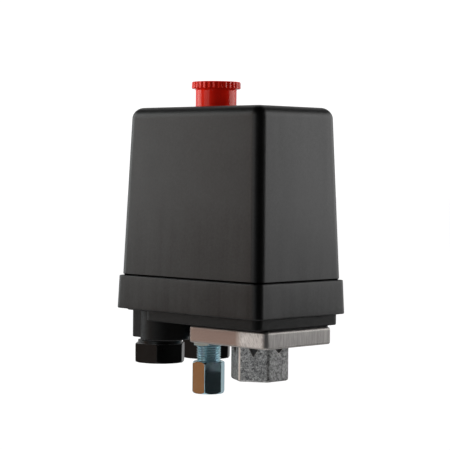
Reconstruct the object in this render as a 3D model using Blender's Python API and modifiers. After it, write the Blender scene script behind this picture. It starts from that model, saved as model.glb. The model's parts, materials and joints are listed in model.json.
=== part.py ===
"""Diaphragm pressure switch for an air compressor, modelled piece by piece.

Axes: +X points to the pressure port end, +Y across the width, +Z up.
Origin: under the middle of the cover, level with the end of the unloader nut.
All sizes are in metres.
"""
import math

import bmesh
import bpy
from mathutils import Matrix, Vector

# Clearances
GAP = 0.0003

# Cover
SKIRT_Z = 0.0374
SKIRT_LENGTH = 0.0878
SKIRT_WIDTH = 0.0565
SKIRT_HEIGHT = 0.0146
SKIRT_LEDGE = 0.0009
COVER_HEIGHT = 0.0885
COVER_TOP_LENGTH = 0.07966
COVER_TOP_WIDTH = 0.04832
COVER_DRAFT = math.radians(2.05)
COVER_CORNER = 0.0045
COVER_TOP_EDGE = 0.0050
SKIRT_CORNER = 0.0037
COVER_WALL = 0.0020
COVER_TOP = SKIRT_Z + COVER_HEIGHT
LEDGE_Z = SKIRT_Z + SKIRT_HEIGHT
SCREW_WELL = 0.0030
SCREW_WELL_RADIUS = 0.0036
SCREW_WELL_FLOOR = 0.0016

# Knob
KNOB_X = -0.0094
KNOB_RADIUS = 0.0090
KNOB_RIM_RADIUS = 0.01075
KNOB_RIM_Z = COVER_TOP + 0.0084
KNOB_RIM_HEIGHT = 0.0031
KNOB_FLUTES = 30
KNOB_TRAVEL = 0.0050
SHAFT_RADIUS = 0.0035

# Base
TRAY_Z = SKIRT_Z - 0.0049
TRAY_FLOOR_Z = TRAY_Z + 0.0029
RIM_Z = SKIRT_Z - 0.0008
RIM_FLOOR_Z = RIM_Z + 0.0020
TRAY_LEFT = -0.0400
TRAY_RIGHT = 0.0415
TRAY_HALF_WIDTH = 0.0258
WELL_LEFT = -0.0272
TRAY_TOP = LEDGE_Z - 0.0025
TRAY_WALL = 0.0022
TRAY_CORNER = 0.0035

# Cable glands
GLAND_X = -0.0286
GLAND_Y = 0.0145
GLAND_ACROSS_FLATS = 0.0206
GLAND_TURN = math.radians(-19.7)
GLAND_NUT_Z = SKIRT_Z - 0.02375
GLAND_NUT_HEIGHT = 0.0084
GLAND_COLLAR_Z = SKIRT_Z - 0.0137
GLAND_COLLAR_RADIUS = 0.0107
GLAND_COLLAR_OFFSET = (0.0014, -0.0013)
GLAND_BLOCK_Z = SKIRT_Z - 0.0130
GLAND_BLOCK_LEFT = -0.0399
GLAND_BLOCK_RIGHT = -0.0200
GLAND_BLOCK_HALF_WIDTH = 0.0220
GLAND_SHOULDER_Z = SKIRT_Z - 0.0028
GLAND_BORE = 0.0083
CABLE_ENTRY = 0.0060
GLAND_STEM = 0.0080
GLAND_STEM_LENGTH = 0.0065
GLAND_SHOULDER = 0.0098
GLAND_WASHER = 0.0008
CABLE_HOLE = 0.0046

# Flange and pressure port
PORT_X = 0.0186
PLATE_HALF_LENGTH = 0.0230
PLATE_HALF_WIDTH = 0.0210
PLATE_Z = SKIRT_Z - 0.01295
PLATE_TOP = TRAY_Z - 0.0008
BOSS_ACROSS_FLATS = 0.0223
BOSS_Z = SKIRT_Z - 0.02865
PORT_BORE = 0.0059
PISTON_RADIUS = 0.0115
FLANGE_SCREW_X = 0.0168
FLANGE_SCREW_Y = 0.0172
PORT_DEPTH = 0.0125
PORT_PASSAGE = 0.0030
CHAMBER_DEPTH = 0.0025
GROUND_SCREW_Y = -0.0170

# Unloader valve
UNLOADER_X = -0.0125
UNLOADER_ACROSS_FLATS = 0.0130
UNLOADER_NUT_HEIGHT = 0.0142
UNLOADER_NUT_TURN = math.radians(-28.0)
UNLOADER_BODY_TURN = math.radians(-15.4)
NUT_BORE_Z = 0.0030
UNLOADER_THREAD = 0.0054
UNLOADER_BODY_Z = 0.0213
UNLOADER_STEM = 0.0045
UNLOADER_TUBE_END = 0.0062
TUBE_SOCKET_Z = 0.0170
VALVE_HEAD_Z = 0.0300
VALVE_BORE_Z = 0.0248
VALVE_BORE = 0.0030
TUBE_HOLE = 0.0031

# Mechanism
PIVOT_X = 0.0020
PIVOT_Z = 0.0486
PIN_RADIUS = 0.0020
LEVER_Z = 0.0421
LEVER_THICKNESS = 0.0025
LEVER_LEFT = -0.0270
LEVER_RIGHT = 0.0345
LEVER_HALF_WIDTH = 0.0080
LEVER_YOKE_HALF_WIDTH = 0.0105
LEVER_EAR = 0.0045
LEVER_EAR_THICKNESS = 0.0018
LEVER_SLOT_LEFT = -0.0250
LEVER_SLOT_RIGHT = -0.0195
FRAME_HALF_WIDTH = 0.0135
FRAME_STEEL = 0.0015
FRAME_LEFT = -0.0020
FRAME_RIGHT = 0.0370
FRAME_FOOT_RIGHT = 0.0386
FRAME_FOOT_HALF_WIDTH = 0.0210
FRAME_TOP = 0.0965
FRAME_TOP_LEFT = -0.0160
WINDOW_LEFT = 0.0085
WINDOW_RIGHT = 0.0285
WINDOW_BOTTOM = 0.0530
WINDOW_TOP = 0.0880
RANGE_SCREW_RADIUS = 0.0030
RANGE_SCREW_TIP_Z = 0.0600
MAIN_SPRING_RADIUS = 0.0076
MAIN_SPRING_WIRE = 0.0024
ADJUSTER_HALF_WIDTH = 0.0116
SPRING_PLATE_Z = 0.0803
DIFFERENTIAL_X = 0.0310
DIFFERENTIAL_NUT_Z = 0.0720
DIFFERENTIAL_SPRING_Z = 0.0480
DIFFERENTIAL_SCREW_RADIUS = 0.0017
DIFFERENTIAL_SCREW_TIP_Z = 0.0640
POST_X = 0.0068

# Contacts
CARRIER_X = -0.0220
CARRIER_HALF_LENGTH = 0.0020
CARRIER_Z = 0.0560
CARRIER_BAR_TOP = 0.0680
CARRIER_TOP = 0.0790
WINDOW_Z = 0.0575
BRIDGE_Z = 0.0604
POLE_PITCH = 0.0120
BLOCK_LEFT = -0.0375
BLOCK_RIGHT = -0.0030
BLOCK_HALF_WIDTH = 0.0195
BLOCK_Z = 0.0500
BLOCK_TOP = 0.0617
SLOT_LEFT = -0.0312
SLOT_RIGHT = -0.0128
BLOCK_FOOT_X = -0.0090
BLOCK_FOOT_Y = 0.0150
BLOCK_FOOT_HEIGHT = 0.0023
BLOCK_LEFT_FOOT_X = -0.0313
TERMINAL_LEFT_X = -0.0343
TERMINAL_RIGHT_X = -0.0080
STRIP_LEFT_END = -0.0282
STRIP_RIGHT_END = -0.0158
RIB_Y = 0.0060
RIB_HEIGHT = 0.0045

# Colour, roughness and metallic value of each finish
FINISHES = {
    "cover_plastic": ((0.030, 0.030, 0.031), 0.42, 0.0),
    "base_plastic": ((0.018, 0.018, 0.019), 0.60, 0.0),
    "gland_plastic": ((0.010, 0.010, 0.011), 0.35, 0.0),
    "red_plastic": ((0.600, 0.030, 0.020), 0.25, 0.0),
    "block_plastic": ((0.090, 0.045, 0.025), 0.50, 0.0),
    "white_plastic": ((0.700, 0.690, 0.650), 0.45, 0.0),
    "zinc": ((0.430, 0.410, 0.390), 0.45, 1.0),
    "blue_zinc": ((0.330, 0.420, 0.460), 0.30, 1.0),
    "steel": ((0.520, 0.530, 0.550), 0.32, 1.0),
    "brass": ((0.700, 0.520, 0.240), 0.30, 1.0),
    "rubber": ((0.020, 0.020, 0.020), 0.80, 0.0),
}


# ---------------------------------------------------------------- helpers

def clear_scene():
    for obj in list(bpy.data.objects):
        bpy.data.objects.remove(obj, do_unlink=True)


def collection(name):
    group = bpy.data.collections.new(name)
    bpy.context.scene.collection.children.link(group)
    return group


clear_scene()
PARTS = collection("pressure_switch")
CUTTERS = collection("cutters")


def finish_material(name, finish):
    colour, roughness, metallic = FINISHES[finish]
    material = bpy.data.materials.new(name + "_" + finish)
    material.use_nodes = True
    shader = material.node_tree.nodes["Principled BSDF"]
    shader.inputs["Base Color"].default_value = (*colour, 1.0)
    shader.inputs["Roughness"].default_value = roughness
    shader.inputs["Metallic"].default_value = metallic
    return material


def add_object(name, data, finish, origin):
    """Links an object at its origin; a piece with no finish is a cutter or a tool."""
    obj = bpy.data.objects.new(name, data)
    obj.location = origin
    if finish is None:
        CUTTERS.objects.link(obj)
        obj.hide_render = True
        obj.display_type = "WIRE"
    else:
        PARTS.objects.link(obj)
        data.materials.append(finish_material(name, finish))
    return obj


def mesh_object(name, bm, finish, origin=(0, 0, 0)):
    """Turns a bmesh in world coordinates into an object with the given origin."""
    bmesh.ops.translate(bm, vec=-Vector(origin), verts=bm.verts)
    mesh = bpy.data.meshes.new(name)
    bm.to_mesh(mesh)
    bm.free()
    mesh.shade_smooth()
    mesh.set_sharp_from_angle(angle=math.radians(35))
    return add_object(name, mesh, finish, origin)


def box(name, finish, low, high, origin=(0, 0, 0)):
    size = [top - bottom for bottom, top in zip(low, high)]
    centre = [(top + bottom) / 2 for bottom, top in zip(low, high)]
    bm = bmesh.new()
    bmesh.ops.create_cube(bm, size=1.0)
    bmesh.ops.scale(bm, vec=size, verts=bm.verts)
    bmesh.ops.translate(bm, vec=centre, verts=bm.verts)
    return mesh_object(name, bm, finish, origin)


def cylinder(name, finish, x, y, bottom, top, radius, origin=(0, 0, 0), sides=24, turn=0.0):
    bm = bmesh.new()
    place = Matrix.Translation((x, y, (bottom + top) / 2)) @ Matrix.Rotation(turn, 4, "Z")
    bmesh.ops.create_cone(bm, cap_ends=True, segments=sides, radius1=radius, radius2=radius,
                          depth=top - bottom, matrix=place)
    return mesh_object(name, bm, finish, origin)


def cross_cylinder(name, finish, x, z, near, far, radius, origin=(0, 0, 0), sides=20):
    """A cylinder that lies along Y."""
    bm = bmesh.new()
    place = Matrix.Translation((x, (near + far) / 2, z)) @ Matrix.Rotation(math.pi / 2, 4, "X")
    bmesh.ops.create_cone(bm, cap_ends=True, segments=sides, radius1=radius, radius2=radius,
                          depth=far - near, matrix=place)
    return mesh_object(name, bm, finish, origin)


def turned(name, finish, x, y, profile, origin_z=0.0, sides=32):
    """A turned piece; the profile is (radius, z) points, down the outer side."""
    bm = bmesh.new()
    verts = [bm.verts.new((radius, 0, z - origin_z)) for radius, z in profile]
    for start, end in zip(verts, verts[1:]):
        bm.edges.new((start, end))
    if profile[0][0] > 0:
        bm.edges.new((verts[-1], verts[0]))
    mesh = bpy.data.meshes.new(name)
    bm.to_mesh(mesh)
    bm.free()
    obj = add_object(name, mesh, finish, (x, y, origin_z))
    screw = obj.modifiers.new("turn", "SCREW")
    screw.steps = sides
    screw.render_steps = sides
    screw.use_merge_vertices = True
    screw.merge_threshold = 0.00001
    return obj


def hexagon(name, finish, x, y, bottom, top, across_flats, origin=(0, 0, 0), turn=0.0):
    """A hexagonal bar; with no turn two of its flats face +X and -X."""
    corner = across_flats / math.sqrt(3)
    return cylinder(name, finish, x, y, bottom, top, corner, origin, 6, turn)


def rounded_ring(bm, half_x, half_y, radius, z, centre_x=0.0, steps=4):
    """Adds the corner points of one rounded rectangle, anticlockwise from +X."""
    ring = []
    for corner in range(4):
        sign_x = 1 if corner in (0, 3) else -1
        sign_y = 1 if corner in (0, 1) else -1
        for step in range(steps + 1):
            angle = math.pi / 2 * (corner + step / steps)
            x = centre_x + sign_x * (half_x - radius) + radius * math.cos(angle)
            y = sign_y * (half_y - radius) + radius * math.sin(angle)
            ring.append(bm.verts.new((x, y, z)))
    return ring


def skin(bm, rings):
    """Joins each ring to the next with a band of quads."""
    for lower, upper in zip(rings, rings[1:]):
        count = len(lower)
        for i in range(count):
            j = (i + 1) % count
            bm.faces.new((lower[i], lower[j], upper[j], upper[i]))


def rounded_block(name, finish, left, right, half_y, radius, bottom, top, edge=0.0):
    """An upright block with round vertical corners and, with an edge, softened rims."""
    half_x = (right - left) / 2
    middle = (right + left) / 2
    levels = [(bottom, edge), (bottom + edge, 0.0), (top - edge, 0.0), (top, edge)]
    if not edge:
        levels = [(bottom, 0.0), (top, 0.0)]
    bm = bmesh.new()
    rings = [rounded_ring(bm, half_x - inset, half_y - inset, radius - inset, z, middle)
             for z, inset in levels]
    skin(bm, rings)
    bm.faces.new(list(reversed(rings[0])))
    bm.faces.new(rings[-1])
    return mesh_object(name, bm, finish)


def tapered_block(name, finish, left, right, half_y, radius, bottom, top):
    """An upright block with round corners that narrows with the cover's draft."""
    inset = (top - bottom) * math.tan(COVER_DRAFT)
    half_x = (right - left) / 2
    middle = (right + left) / 2
    bm = bmesh.new()
    rings = [rounded_ring(bm, half_x - inward, half_y - inward, radius, z, middle)
             for z, inward in ((bottom, 0.0), (top, inset))]
    skin(bm, rings)
    bm.faces.new(list(reversed(rings[0])))
    bm.faces.new(rings[-1])
    return mesh_object(name, bm, finish)


def boolean(target, tool, operation):
    modifier = target.modifiers.new(tool.name, "BOOLEAN")
    modifier.operation = operation
    modifier.object = tool
    return target


def cut(target, *tools):
    for tool in tools:
        boolean(target, tool, "DIFFERENCE")


def join(target, *tools):
    for tool in tools:
        boolean(target, tool, "UNION")


def round_edges(obj, width, segments):
    bevel = obj.modifiers.new("rounding", "BEVEL")
    bevel.width = width
    bevel.segments = segments
    bevel.limit_method = "ANGLE"
    bevel.angle_limit = math.radians(40)


def bevel_top_corners(obj, width):
    """Rounds the two upper corners of an upright plate that faces along Y."""
    mesh = obj.data
    bm = bmesh.new()
    bm.from_mesh(mesh)
    top = max(vert.co.z for vert in bm.verts)
    edges = [edge for edge in bm.edges
             if all(abs(vert.co.z - top) < 0.00001 for vert in edge.verts)
             and abs(edge.verts[0].co.x - edge.verts[1].co.x) < 0.00001]
    bmesh.ops.bevel(bm, geom=edges, offset=width, segments=5, profile=0.5, affect="EDGES",
                    clamp_overlap=True)
    bm.to_mesh(mesh)
    bm.free()


def coil(name, finish, x, y, bottom, top, radius, wire, turns, points, resolution, origin_z):
    """A compression spring with closed end coils, as one round wire."""
    low = bottom + wire / 2
    high = top - wire / 2
    closed = 0.9
    pitch = (high - low - 2 * closed * wire) / (turns - 2 * closed)
    count = round(turns * points)
    curve = bpy.data.curves.new(name, "CURVE")
    curve.dimensions = "3D"
    curve.bevel_depth = wire / 2
    curve.bevel_resolution = resolution
    curve.use_fill_caps = True
    spline = curve.splines.new("POLY")
    spline.points.add(count)
    for i, point in enumerate(spline.points):
        turn = turns * i / count
        rise = min(turn, closed) * wire
        rise += max(0.0, min(turn, turns - closed) - closed) * pitch
        rise += max(0.0, turn - turns + closed) * wire
        angle = 2 * math.pi * turn
        place = (radius * math.cos(angle), radius * math.sin(angle), low + rise - origin_z)
        point.co = (*place, 1.0)
    return add_object(name, curve, finish, (x, y, origin_z))


def slotted_screw(name, finish, x, y, seat, head_radius, head_height, shank_radius, length):
    """A cheese-head screw whose head rests just above the seat."""
    head_z = seat + GAP
    top = head_z + head_height
    profile = [(0, top), (head_radius - 0.0003, top), (head_radius, top - 0.0003),
               (head_radius, head_z), (shank_radius, head_z),
               (shank_radius, head_z - length), (0, head_z - length)]
    screw = turned(name, finish, x, y, profile, origin_z=head_z, sides=12)
    driver = box(name + "_slot", None, (x - head_radius - GAP, y - 0.0004, top - 0.0009),
                 (x + head_radius + GAP, y + 0.0004, top + 0.0010))
    cut(screw, driver)


# ---------------------------------------------------------------- housing

def cover():
    """A tapered box shell, open below, with a skirt that stands proud of it."""
    top_x = COVER_TOP_LENGTH / 2
    top_y = COVER_TOP_WIDTH / 2
    spread = (COVER_TOP - LEDGE_Z) * math.tan(COVER_DRAFT)
    edge = COVER_TOP_EDGE
    edge_spread = edge * math.tan(COVER_DRAFT)
    bm = bmesh.new()
    skirt_in = SKIRT_HEIGHT * math.tan(COVER_DRAFT)
    rings = [
        rounded_ring(bm, SKIRT_LENGTH / 2, SKIRT_WIDTH / 2, SKIRT_CORNER, SKIRT_Z),
        rounded_ring(bm, SKIRT_LENGTH / 2 - skirt_in, SKIRT_WIDTH / 2 - skirt_in,
                     SKIRT_CORNER, LEDGE_Z - 0.0004),
        rounded_ring(bm, top_x + spread + SKIRT_LEDGE / 2, top_y + spread + SKIRT_LEDGE / 2,
                     SKIRT_CORNER, LEDGE_Z),
        rounded_ring(bm, top_x + spread, top_y + spread, COVER_CORNER, LEDGE_Z + GAP),
    ]
    for step in range(5):
        angle = math.pi / 2 * step / 4
        inset = edge * (1 - math.cos(angle)) - edge_spread * (1 - math.sin(angle))
        rings.append(rounded_ring(bm, top_x - inset, top_y - inset,
                                  max(COVER_CORNER - inset, 0.0008),
                                  COVER_TOP - edge * (1 - math.sin(angle))))
    skin(bm, rings)
    bm.faces.new(rings[-1])
    shell = mesh_object("cover", bm, "cover_plastic")
    wall = shell.modifiers.new("wall", "SOLIDIFY")
    wall.thickness = COVER_WALL
    wall.offset = -1
    wall.use_even_offset = True
    join(shell, cylinder("screw_well", None, POST_X, 0,
                         COVER_TOP - SCREW_WELL - SCREW_WELL_FLOOR, COVER_TOP - 0.0010,
                         SCREW_WELL_RADIUS + 0.0014))
    cut(shell,
        cylinder("knob_opening", None, KNOB_X, 0, COVER_TOP - 0.008, COVER_TOP + 0.004,
                 KNOB_RADIUS + 0.0004, sides=40),
        cylinder("screw_recess", None, POST_X, 0, COVER_TOP - SCREW_WELL,
                 COVER_TOP + 0.004, SCREW_WELL_RADIUS),
        cylinder("cover_screw_hole", None, POST_X, 0, COVER_TOP - 0.008, COVER_TOP + 0.004,
                 0.0019, sides=16))


def base():
    """The moulded tray, its deeper well, the gland block and two gland collars."""
    tray = tapered_block("base", "base_plastic", TRAY_LEFT, TRAY_RIGHT, TRAY_HALF_WIDTH,
                         TRAY_CORNER, RIM_Z, TRAY_TOP)
    join(tray,
         rounded_block("base_well", None, WELL_LEFT, TRAY_RIGHT - 0.0001,
                       TRAY_HALF_WIDTH - 0.0001, TRAY_CORNER, TRAY_Z, RIM_Z + 0.0010),
         rounded_block("base_gland_block", None, GLAND_BLOCK_LEFT, GLAND_BLOCK_RIGHT,
                       GLAND_BLOCK_HALF_WIDTH, 0.0025, GLAND_BLOCK_Z, RIM_Z + 0.0012))
    for side in (-1, 1):
        offset_x, offset_y = GLAND_COLLAR_OFFSET
        join(tray, cylinder("base_collar", None, GLAND_X + offset_x,
                            side * (GLAND_Y + offset_y), GLAND_COLLAR_Z,
                            RIM_Z + 0.0014, GLAND_COLLAR_RADIUS, sides=28))
    cut(tray,
        rounded_block("base_pocket", None, TRAY_LEFT + TRAY_WALL, TRAY_RIGHT - TRAY_WALL,
                      TRAY_HALF_WIDTH - TRAY_WALL, TRAY_CORNER - 0.001, RIM_FLOOR_Z,
                      TRAY_TOP + 0.005),
        rounded_block("base_well_pocket", None, WELL_LEFT + 0.0020,
                      TRAY_RIGHT - TRAY_WALL - 0.0001,
                      TRAY_HALF_WIDTH - TRAY_WALL - 0.0001, TRAY_CORNER - 0.001,
                      TRAY_FLOOR_Z, TRAY_TOP + 0.004))
    for side in (-1, 1):
        y = side * GLAND_Y
        cut(tray,
            cylinder("gland_bore", None, GLAND_X, y, GLAND_COLLAR_Z - 0.004, GLAND_SHOULDER_Z,
                     GLAND_BORE, sides=24),
            cylinder("cable_entry", None, GLAND_X, y, GLAND_SHOULDER_Z - 0.001,
                     RIM_FLOOR_Z + 0.004, CABLE_ENTRY, sides=16),
            cylinder("block_screw_hole", None, BLOCK_FOOT_X, side * BLOCK_FOOT_Y, TRAY_Z + 0.0006,
                     TRAY_FLOOR_Z + 0.002, 0.0017, sides=8))
        for end in (-1, 1):
            cut(tray, cylinder("flange_screw_hole", None, PORT_X + end * FLANGE_SCREW_X,
                               side * FLANGE_SCREW_Y, TRAY_Z - 0.002, TRAY_FLOOR_Z + 0.002,
                               0.0022, sides=10))
    cut(tray,
        cylinder("piston_hole", None, PORT_X, 0, TRAY_Z - 0.002, TRAY_FLOOR_Z + 0.002,
                 PISTON_RADIUS + 0.0005, sides=28),
        cylinder("unloader_hole", None, UNLOADER_X, 0, TRAY_Z - 0.002, TRAY_FLOOR_Z + 0.002,
                 UNLOADER_STEM + 0.0004, sides=20),
        cylinder("left_screw_hole", None, BLOCK_LEFT_FOOT_X, 0, RIM_FLOOR_Z - 0.003,
                 RIM_FLOOR_Z + 0.002, 0.0017, sides=8),
        cylinder("ground_screw_hole", None, PORT_X, GROUND_SCREW_Y, TRAY_Z + 0.0006,
                 TRAY_FLOOR_Z + 0.002, 0.0020, sides=10))


def cover_fastening():
    post_z = FRAME_TOP + GAP
    post = hexagon("cover_post", "steel", POST_X, 0, post_z,
                   COVER_TOP - SCREW_WELL - SCREW_WELL_FLOOR - GAP, 0.0060)
    cut(post, cylinder("post_thread", None, POST_X, 0, COVER_TOP - 0.0140, COVER_TOP + 0.001,
                       0.0018, sides=16))
    slotted_screw("cover_screw", "steel", POST_X, 0, COVER_TOP - SCREW_WELL, 0.0032, 0.0020,
                  0.0015, 0.0090)


# ---------------------------------------------------------------- pressure side

def flange():
    """The die-cast plate with the hexagonal port boss below it."""
    plate = rounded_block("flange", "zinc", PORT_X - PLATE_HALF_LENGTH,
                          PORT_X + PLATE_HALF_LENGTH, PLATE_HALF_WIDTH, 0.0024,
                          PLATE_Z, PLATE_TOP, edge=0.0008)
    boss = hexagon("flange_boss", None, PORT_X, 0, BOSS_Z, PLATE_Z + 0.002,
                   BOSS_ACROSS_FLATS)
    round_edges(boss, 0.0005, 2)
    join(plate, boss)
    cut(plate,
        cylinder("port_bore", None, PORT_X, 0, BOSS_Z - 0.002, BOSS_Z + PORT_DEPTH, PORT_BORE,
                 sides=32),
        cylinder("port_passage", None, PORT_X, 0, BOSS_Z + PORT_DEPTH - 0.0005,
                 PLATE_TOP + 0.002, PORT_PASSAGE, sides=16),
        cylinder("pressure_chamber", None, PORT_X, 0, PLATE_TOP - CHAMBER_DEPTH,
                 PLATE_TOP + 0.002, PISTON_RADIUS + GAP, sides=24))
    for side in (-1, 1):
        for end in (-1, 1):
            cut(plate, cylinder("flange_thread", None, PORT_X + end * FLANGE_SCREW_X,
                                side * FLANGE_SCREW_Y, PLATE_Z + 0.0010,
                                PLATE_TOP + 0.002, 0.0020, sides=10))


def diaphragm():
    sheet = rounded_block("diaphragm", "rubber", PORT_X - PLATE_HALF_LENGTH + 0.0006,
                          PORT_X + PLATE_HALF_LENGTH - 0.0006, PLATE_HALF_WIDTH - 0.0006,
                          0.0020, PLATE_TOP + 0.0002, TRAY_Z - 0.0002)
    for side in (-1, 1):
        for end in (-1, 1):
            cut(sheet, cylinder("diaphragm_hole", None, PORT_X + end * FLANGE_SCREW_X,
                                side * FLANGE_SCREW_Y, PLATE_TOP - 0.002, TRAY_Z + 0.002,
                                0.0020, sides=8))


def piston():
    """A flat head on the diaphragm and a stem that lifts the lever."""
    bottom = TRAY_Z + 0.0001
    stem_top = LEVER_Z - GAP
    profile = [(0, stem_top), (0.0015, stem_top), (0.0030, stem_top - 0.0012),
               (0.0038, stem_top - 0.0030), (0.0042, bottom + 0.0045),
               (0.0060, bottom + 0.0030), (PISTON_RADIUS - 0.0006, bottom + 0.0030),
               (PISTON_RADIUS, bottom + 0.0024), (PISTON_RADIUS, bottom), (0, bottom)]
    turned("piston", "white_plastic", PORT_X, 0, profile, origin_z=bottom, sides=24)


# ---------------------------------------------------------------- mechanism

def mechanism_frame():
    """A folded steel bridge: two cheeks, a top plate and four feet."""
    inner = FRAME_HALF_WIDTH - FRAME_STEEL
    foot_z = TRAY_FLOOR_Z + GAP
    frame = box("mechanism_frame", "steel",
                (FRAME_TOP_LEFT, -FRAME_HALF_WIDTH, FRAME_TOP - FRAME_STEEL),
                (FRAME_RIGHT, FRAME_HALF_WIDTH, FRAME_TOP))
    for side in (-1, 1):
        near, far = sorted((side * inner, side * FRAME_HALF_WIDTH))
        foot_near, foot_far = sorted((side * inner, side * FRAME_FOOT_HALF_WIDTH))
        join(frame,
             box("frame_cheek", None, (FRAME_LEFT, near, foot_z),
                 (FRAME_RIGHT, far, FRAME_TOP - 0.0010)),
             box("frame_foot", None, (FRAME_LEFT, foot_near, foot_z),
                 (FRAME_FOOT_RIGHT, foot_far, foot_z + FRAME_STEEL)))
    cut(frame,
        cross_cylinder("frame_pin_hole", None, PIVOT_X, PIVOT_Z, -0.0180, 0.0180,
                       PIN_RADIUS + GAP),
        box("frame_window", None, (WINDOW_LEFT, -0.0180, WINDOW_BOTTOM),
            (WINDOW_RIGHT, 0.0180, WINDOW_TOP)),
        cylinder("range_screw_hole", None, PORT_X, 0, 0.0900, 0.1000,
                 RANGE_SCREW_RADIUS + GAP),
        cylinder("differential_hole", None, DIFFERENTIAL_X, 0, 0.0900, 0.1000,
                 DIFFERENTIAL_SCREW_RADIUS + GAP, sides=16),
        cylinder("shaft_guide", None, KNOB_X, 0, 0.0900, 0.1000, SHAFT_RADIUS + GAP),
        cylinder("ground_hole", None, PORT_X, GROUND_SCREW_Y, foot_z - 0.002, foot_z + 0.004,
                 0.0020, sides=12))
    for side in (-1, 1):
        for end in (-1, 1):
            cut(frame, cylinder("foot_hole", None, PORT_X + end * FLANGE_SCREW_X,
                                side * FLANGE_SCREW_Y, foot_z - 0.002, foot_z + 0.004,
                                0.0022, sides=10))


def main_lever():
    """The rocker: the piston lifts its right arm, its left arm works the contacts."""
    pivot = (PIVOT_X, 0, PIVOT_Z)
    top = LEVER_Z + LEVER_THICKNESS
    lever = box("main_lever", "steel", (LEVER_LEFT, -LEVER_HALF_WIDTH, LEVER_Z),
                (0.0010, LEVER_HALF_WIDTH, top), origin=pivot)
    join(lever, box("lever_yoke", None, (-0.0025, -LEVER_YOKE_HALF_WIDTH, LEVER_Z),
                    (LEVER_RIGHT, LEVER_YOKE_HALF_WIDTH, top)))
    ear = LEVER_EAR
    for side in (-1, 1):
        near, far = sorted((side * (LEVER_YOKE_HALF_WIDTH - LEVER_EAR_THICKNESS),
                            side * (LEVER_YOKE_HALF_WIDTH - 0.0001)))
        ear_side = box("lever_ear", None, (PIVOT_X - ear, near, LEVER_Z + 0.001),
                       (PIVOT_X + ear, far, PIVOT_Z + ear))
        bevel_top_corners(ear_side, ear - 0.0005)
        join(lever, ear_side)
    cut(lever,
        cross_cylinder("lever_pin_hole", None, PIVOT_X, PIVOT_Z, -0.0150, 0.0150,
                       PIN_RADIUS + GAP),
        box("lever_slot", None, (LEVER_SLOT_LEFT, -0.0033, LEVER_Z - 0.002),
            (LEVER_SLOT_RIGHT, 0.0033, top + 0.002)))


def lever_pivot_pin():
    reach = FRAME_HALF_WIDTH + 0.0015
    pin = cross_cylinder("lever_pivot_pin", "steel", PIVOT_X, PIVOT_Z, -reach, reach,
                         PIN_RADIUS, origin=(PIVOT_X, 0, PIVOT_Z))
    join(pin, cross_cylinder("pin_head", None, PIVOT_X, PIVOT_Z, -reach - 0.001,
                             -FRAME_HALF_WIDTH - GAP, 0.0032))


def range_adjuster():
    """The main spring, the plate that loads it and the screw that moves the plate."""
    coil("main_spring", "steel", PORT_X, 0, LEVER_Z + LEVER_THICKNESS + GAP,
         SPRING_PLATE_Z - GAP, MAIN_SPRING_RADIUS, MAIN_SPRING_WIRE, 6.0, 12, 1,
         SPRING_PLATE_Z)
    plate = box("spring_plate", "steel",
                (PORT_X - 0.0090, -ADJUSTER_HALF_WIDTH, SPRING_PLATE_Z),
                (PORT_X + 0.0088, ADJUSTER_HALF_WIDTH, SPRING_PLATE_Z + 0.0030),
                origin=(PORT_X, 0, SPRING_PLATE_Z))
    round_edges(plate, 0.0005, 1)
    cut(plate, cylinder("plate_thread", None, PORT_X, 0, SPRING_PLATE_Z - 0.002,
                        SPRING_PLATE_Z + 0.005, RANGE_SCREW_RADIUS + GAP))
    head_z = FRAME_TOP + GAP
    screw = cylinder("range_screw", "steel", PORT_X, 0, RANGE_SCREW_TIP_Z, head_z + 0.0005,
                     RANGE_SCREW_RADIUS, origin=(PORT_X, 0, head_z), sides=16)
    join(screw, hexagon("range_screw_head", None, PORT_X, 0, head_z, head_z + 0.0045,
                        0.0100))


def differential_adjuster():
    """The lighter spring, met late in the lever's travel, with its nut and screw."""
    coil("differential_spring", "steel", DIFFERENTIAL_X, 0, DIFFERENTIAL_SPRING_Z,
         DIFFERENTIAL_NUT_Z - GAP, 0.0026, 0.0009, 8.0, 9, 0, DIFFERENTIAL_NUT_Z)
    nut = box("differential_nut", "steel",
              (DIFFERENTIAL_X - 0.0030, -ADJUSTER_HALF_WIDTH, DIFFERENTIAL_NUT_Z),
              (DIFFERENTIAL_X + 0.0030, ADJUSTER_HALF_WIDTH, DIFFERENTIAL_NUT_Z + 0.0025),
              origin=(DIFFERENTIAL_X, 0, DIFFERENTIAL_NUT_Z))
    round_edges(nut, 0.0004, 1)
    cut(nut, cylinder("nut_thread", None, DIFFERENTIAL_X, 0, DIFFERENTIAL_NUT_Z - 0.002,
                      DIFFERENTIAL_NUT_Z + 0.005, DIFFERENTIAL_SCREW_RADIUS + GAP,
                      sides=16))
    head_z = FRAME_TOP + GAP
    screw = cylinder("differential_screw", "steel", DIFFERENTIAL_X, 0, DIFFERENTIAL_SCREW_TIP_Z,
                     head_z + 0.0005, DIFFERENTIAL_SCREW_RADIUS,
                     origin=(DIFFERENTIAL_X, 0, head_z), sides=12)
    join(screw, hexagon("differential_screw_head", None, DIFFERENTIAL_X, 0, head_z,
                        head_z + 0.0030, 0.0070))


# ---------------------------------------------------------------- knob

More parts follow.
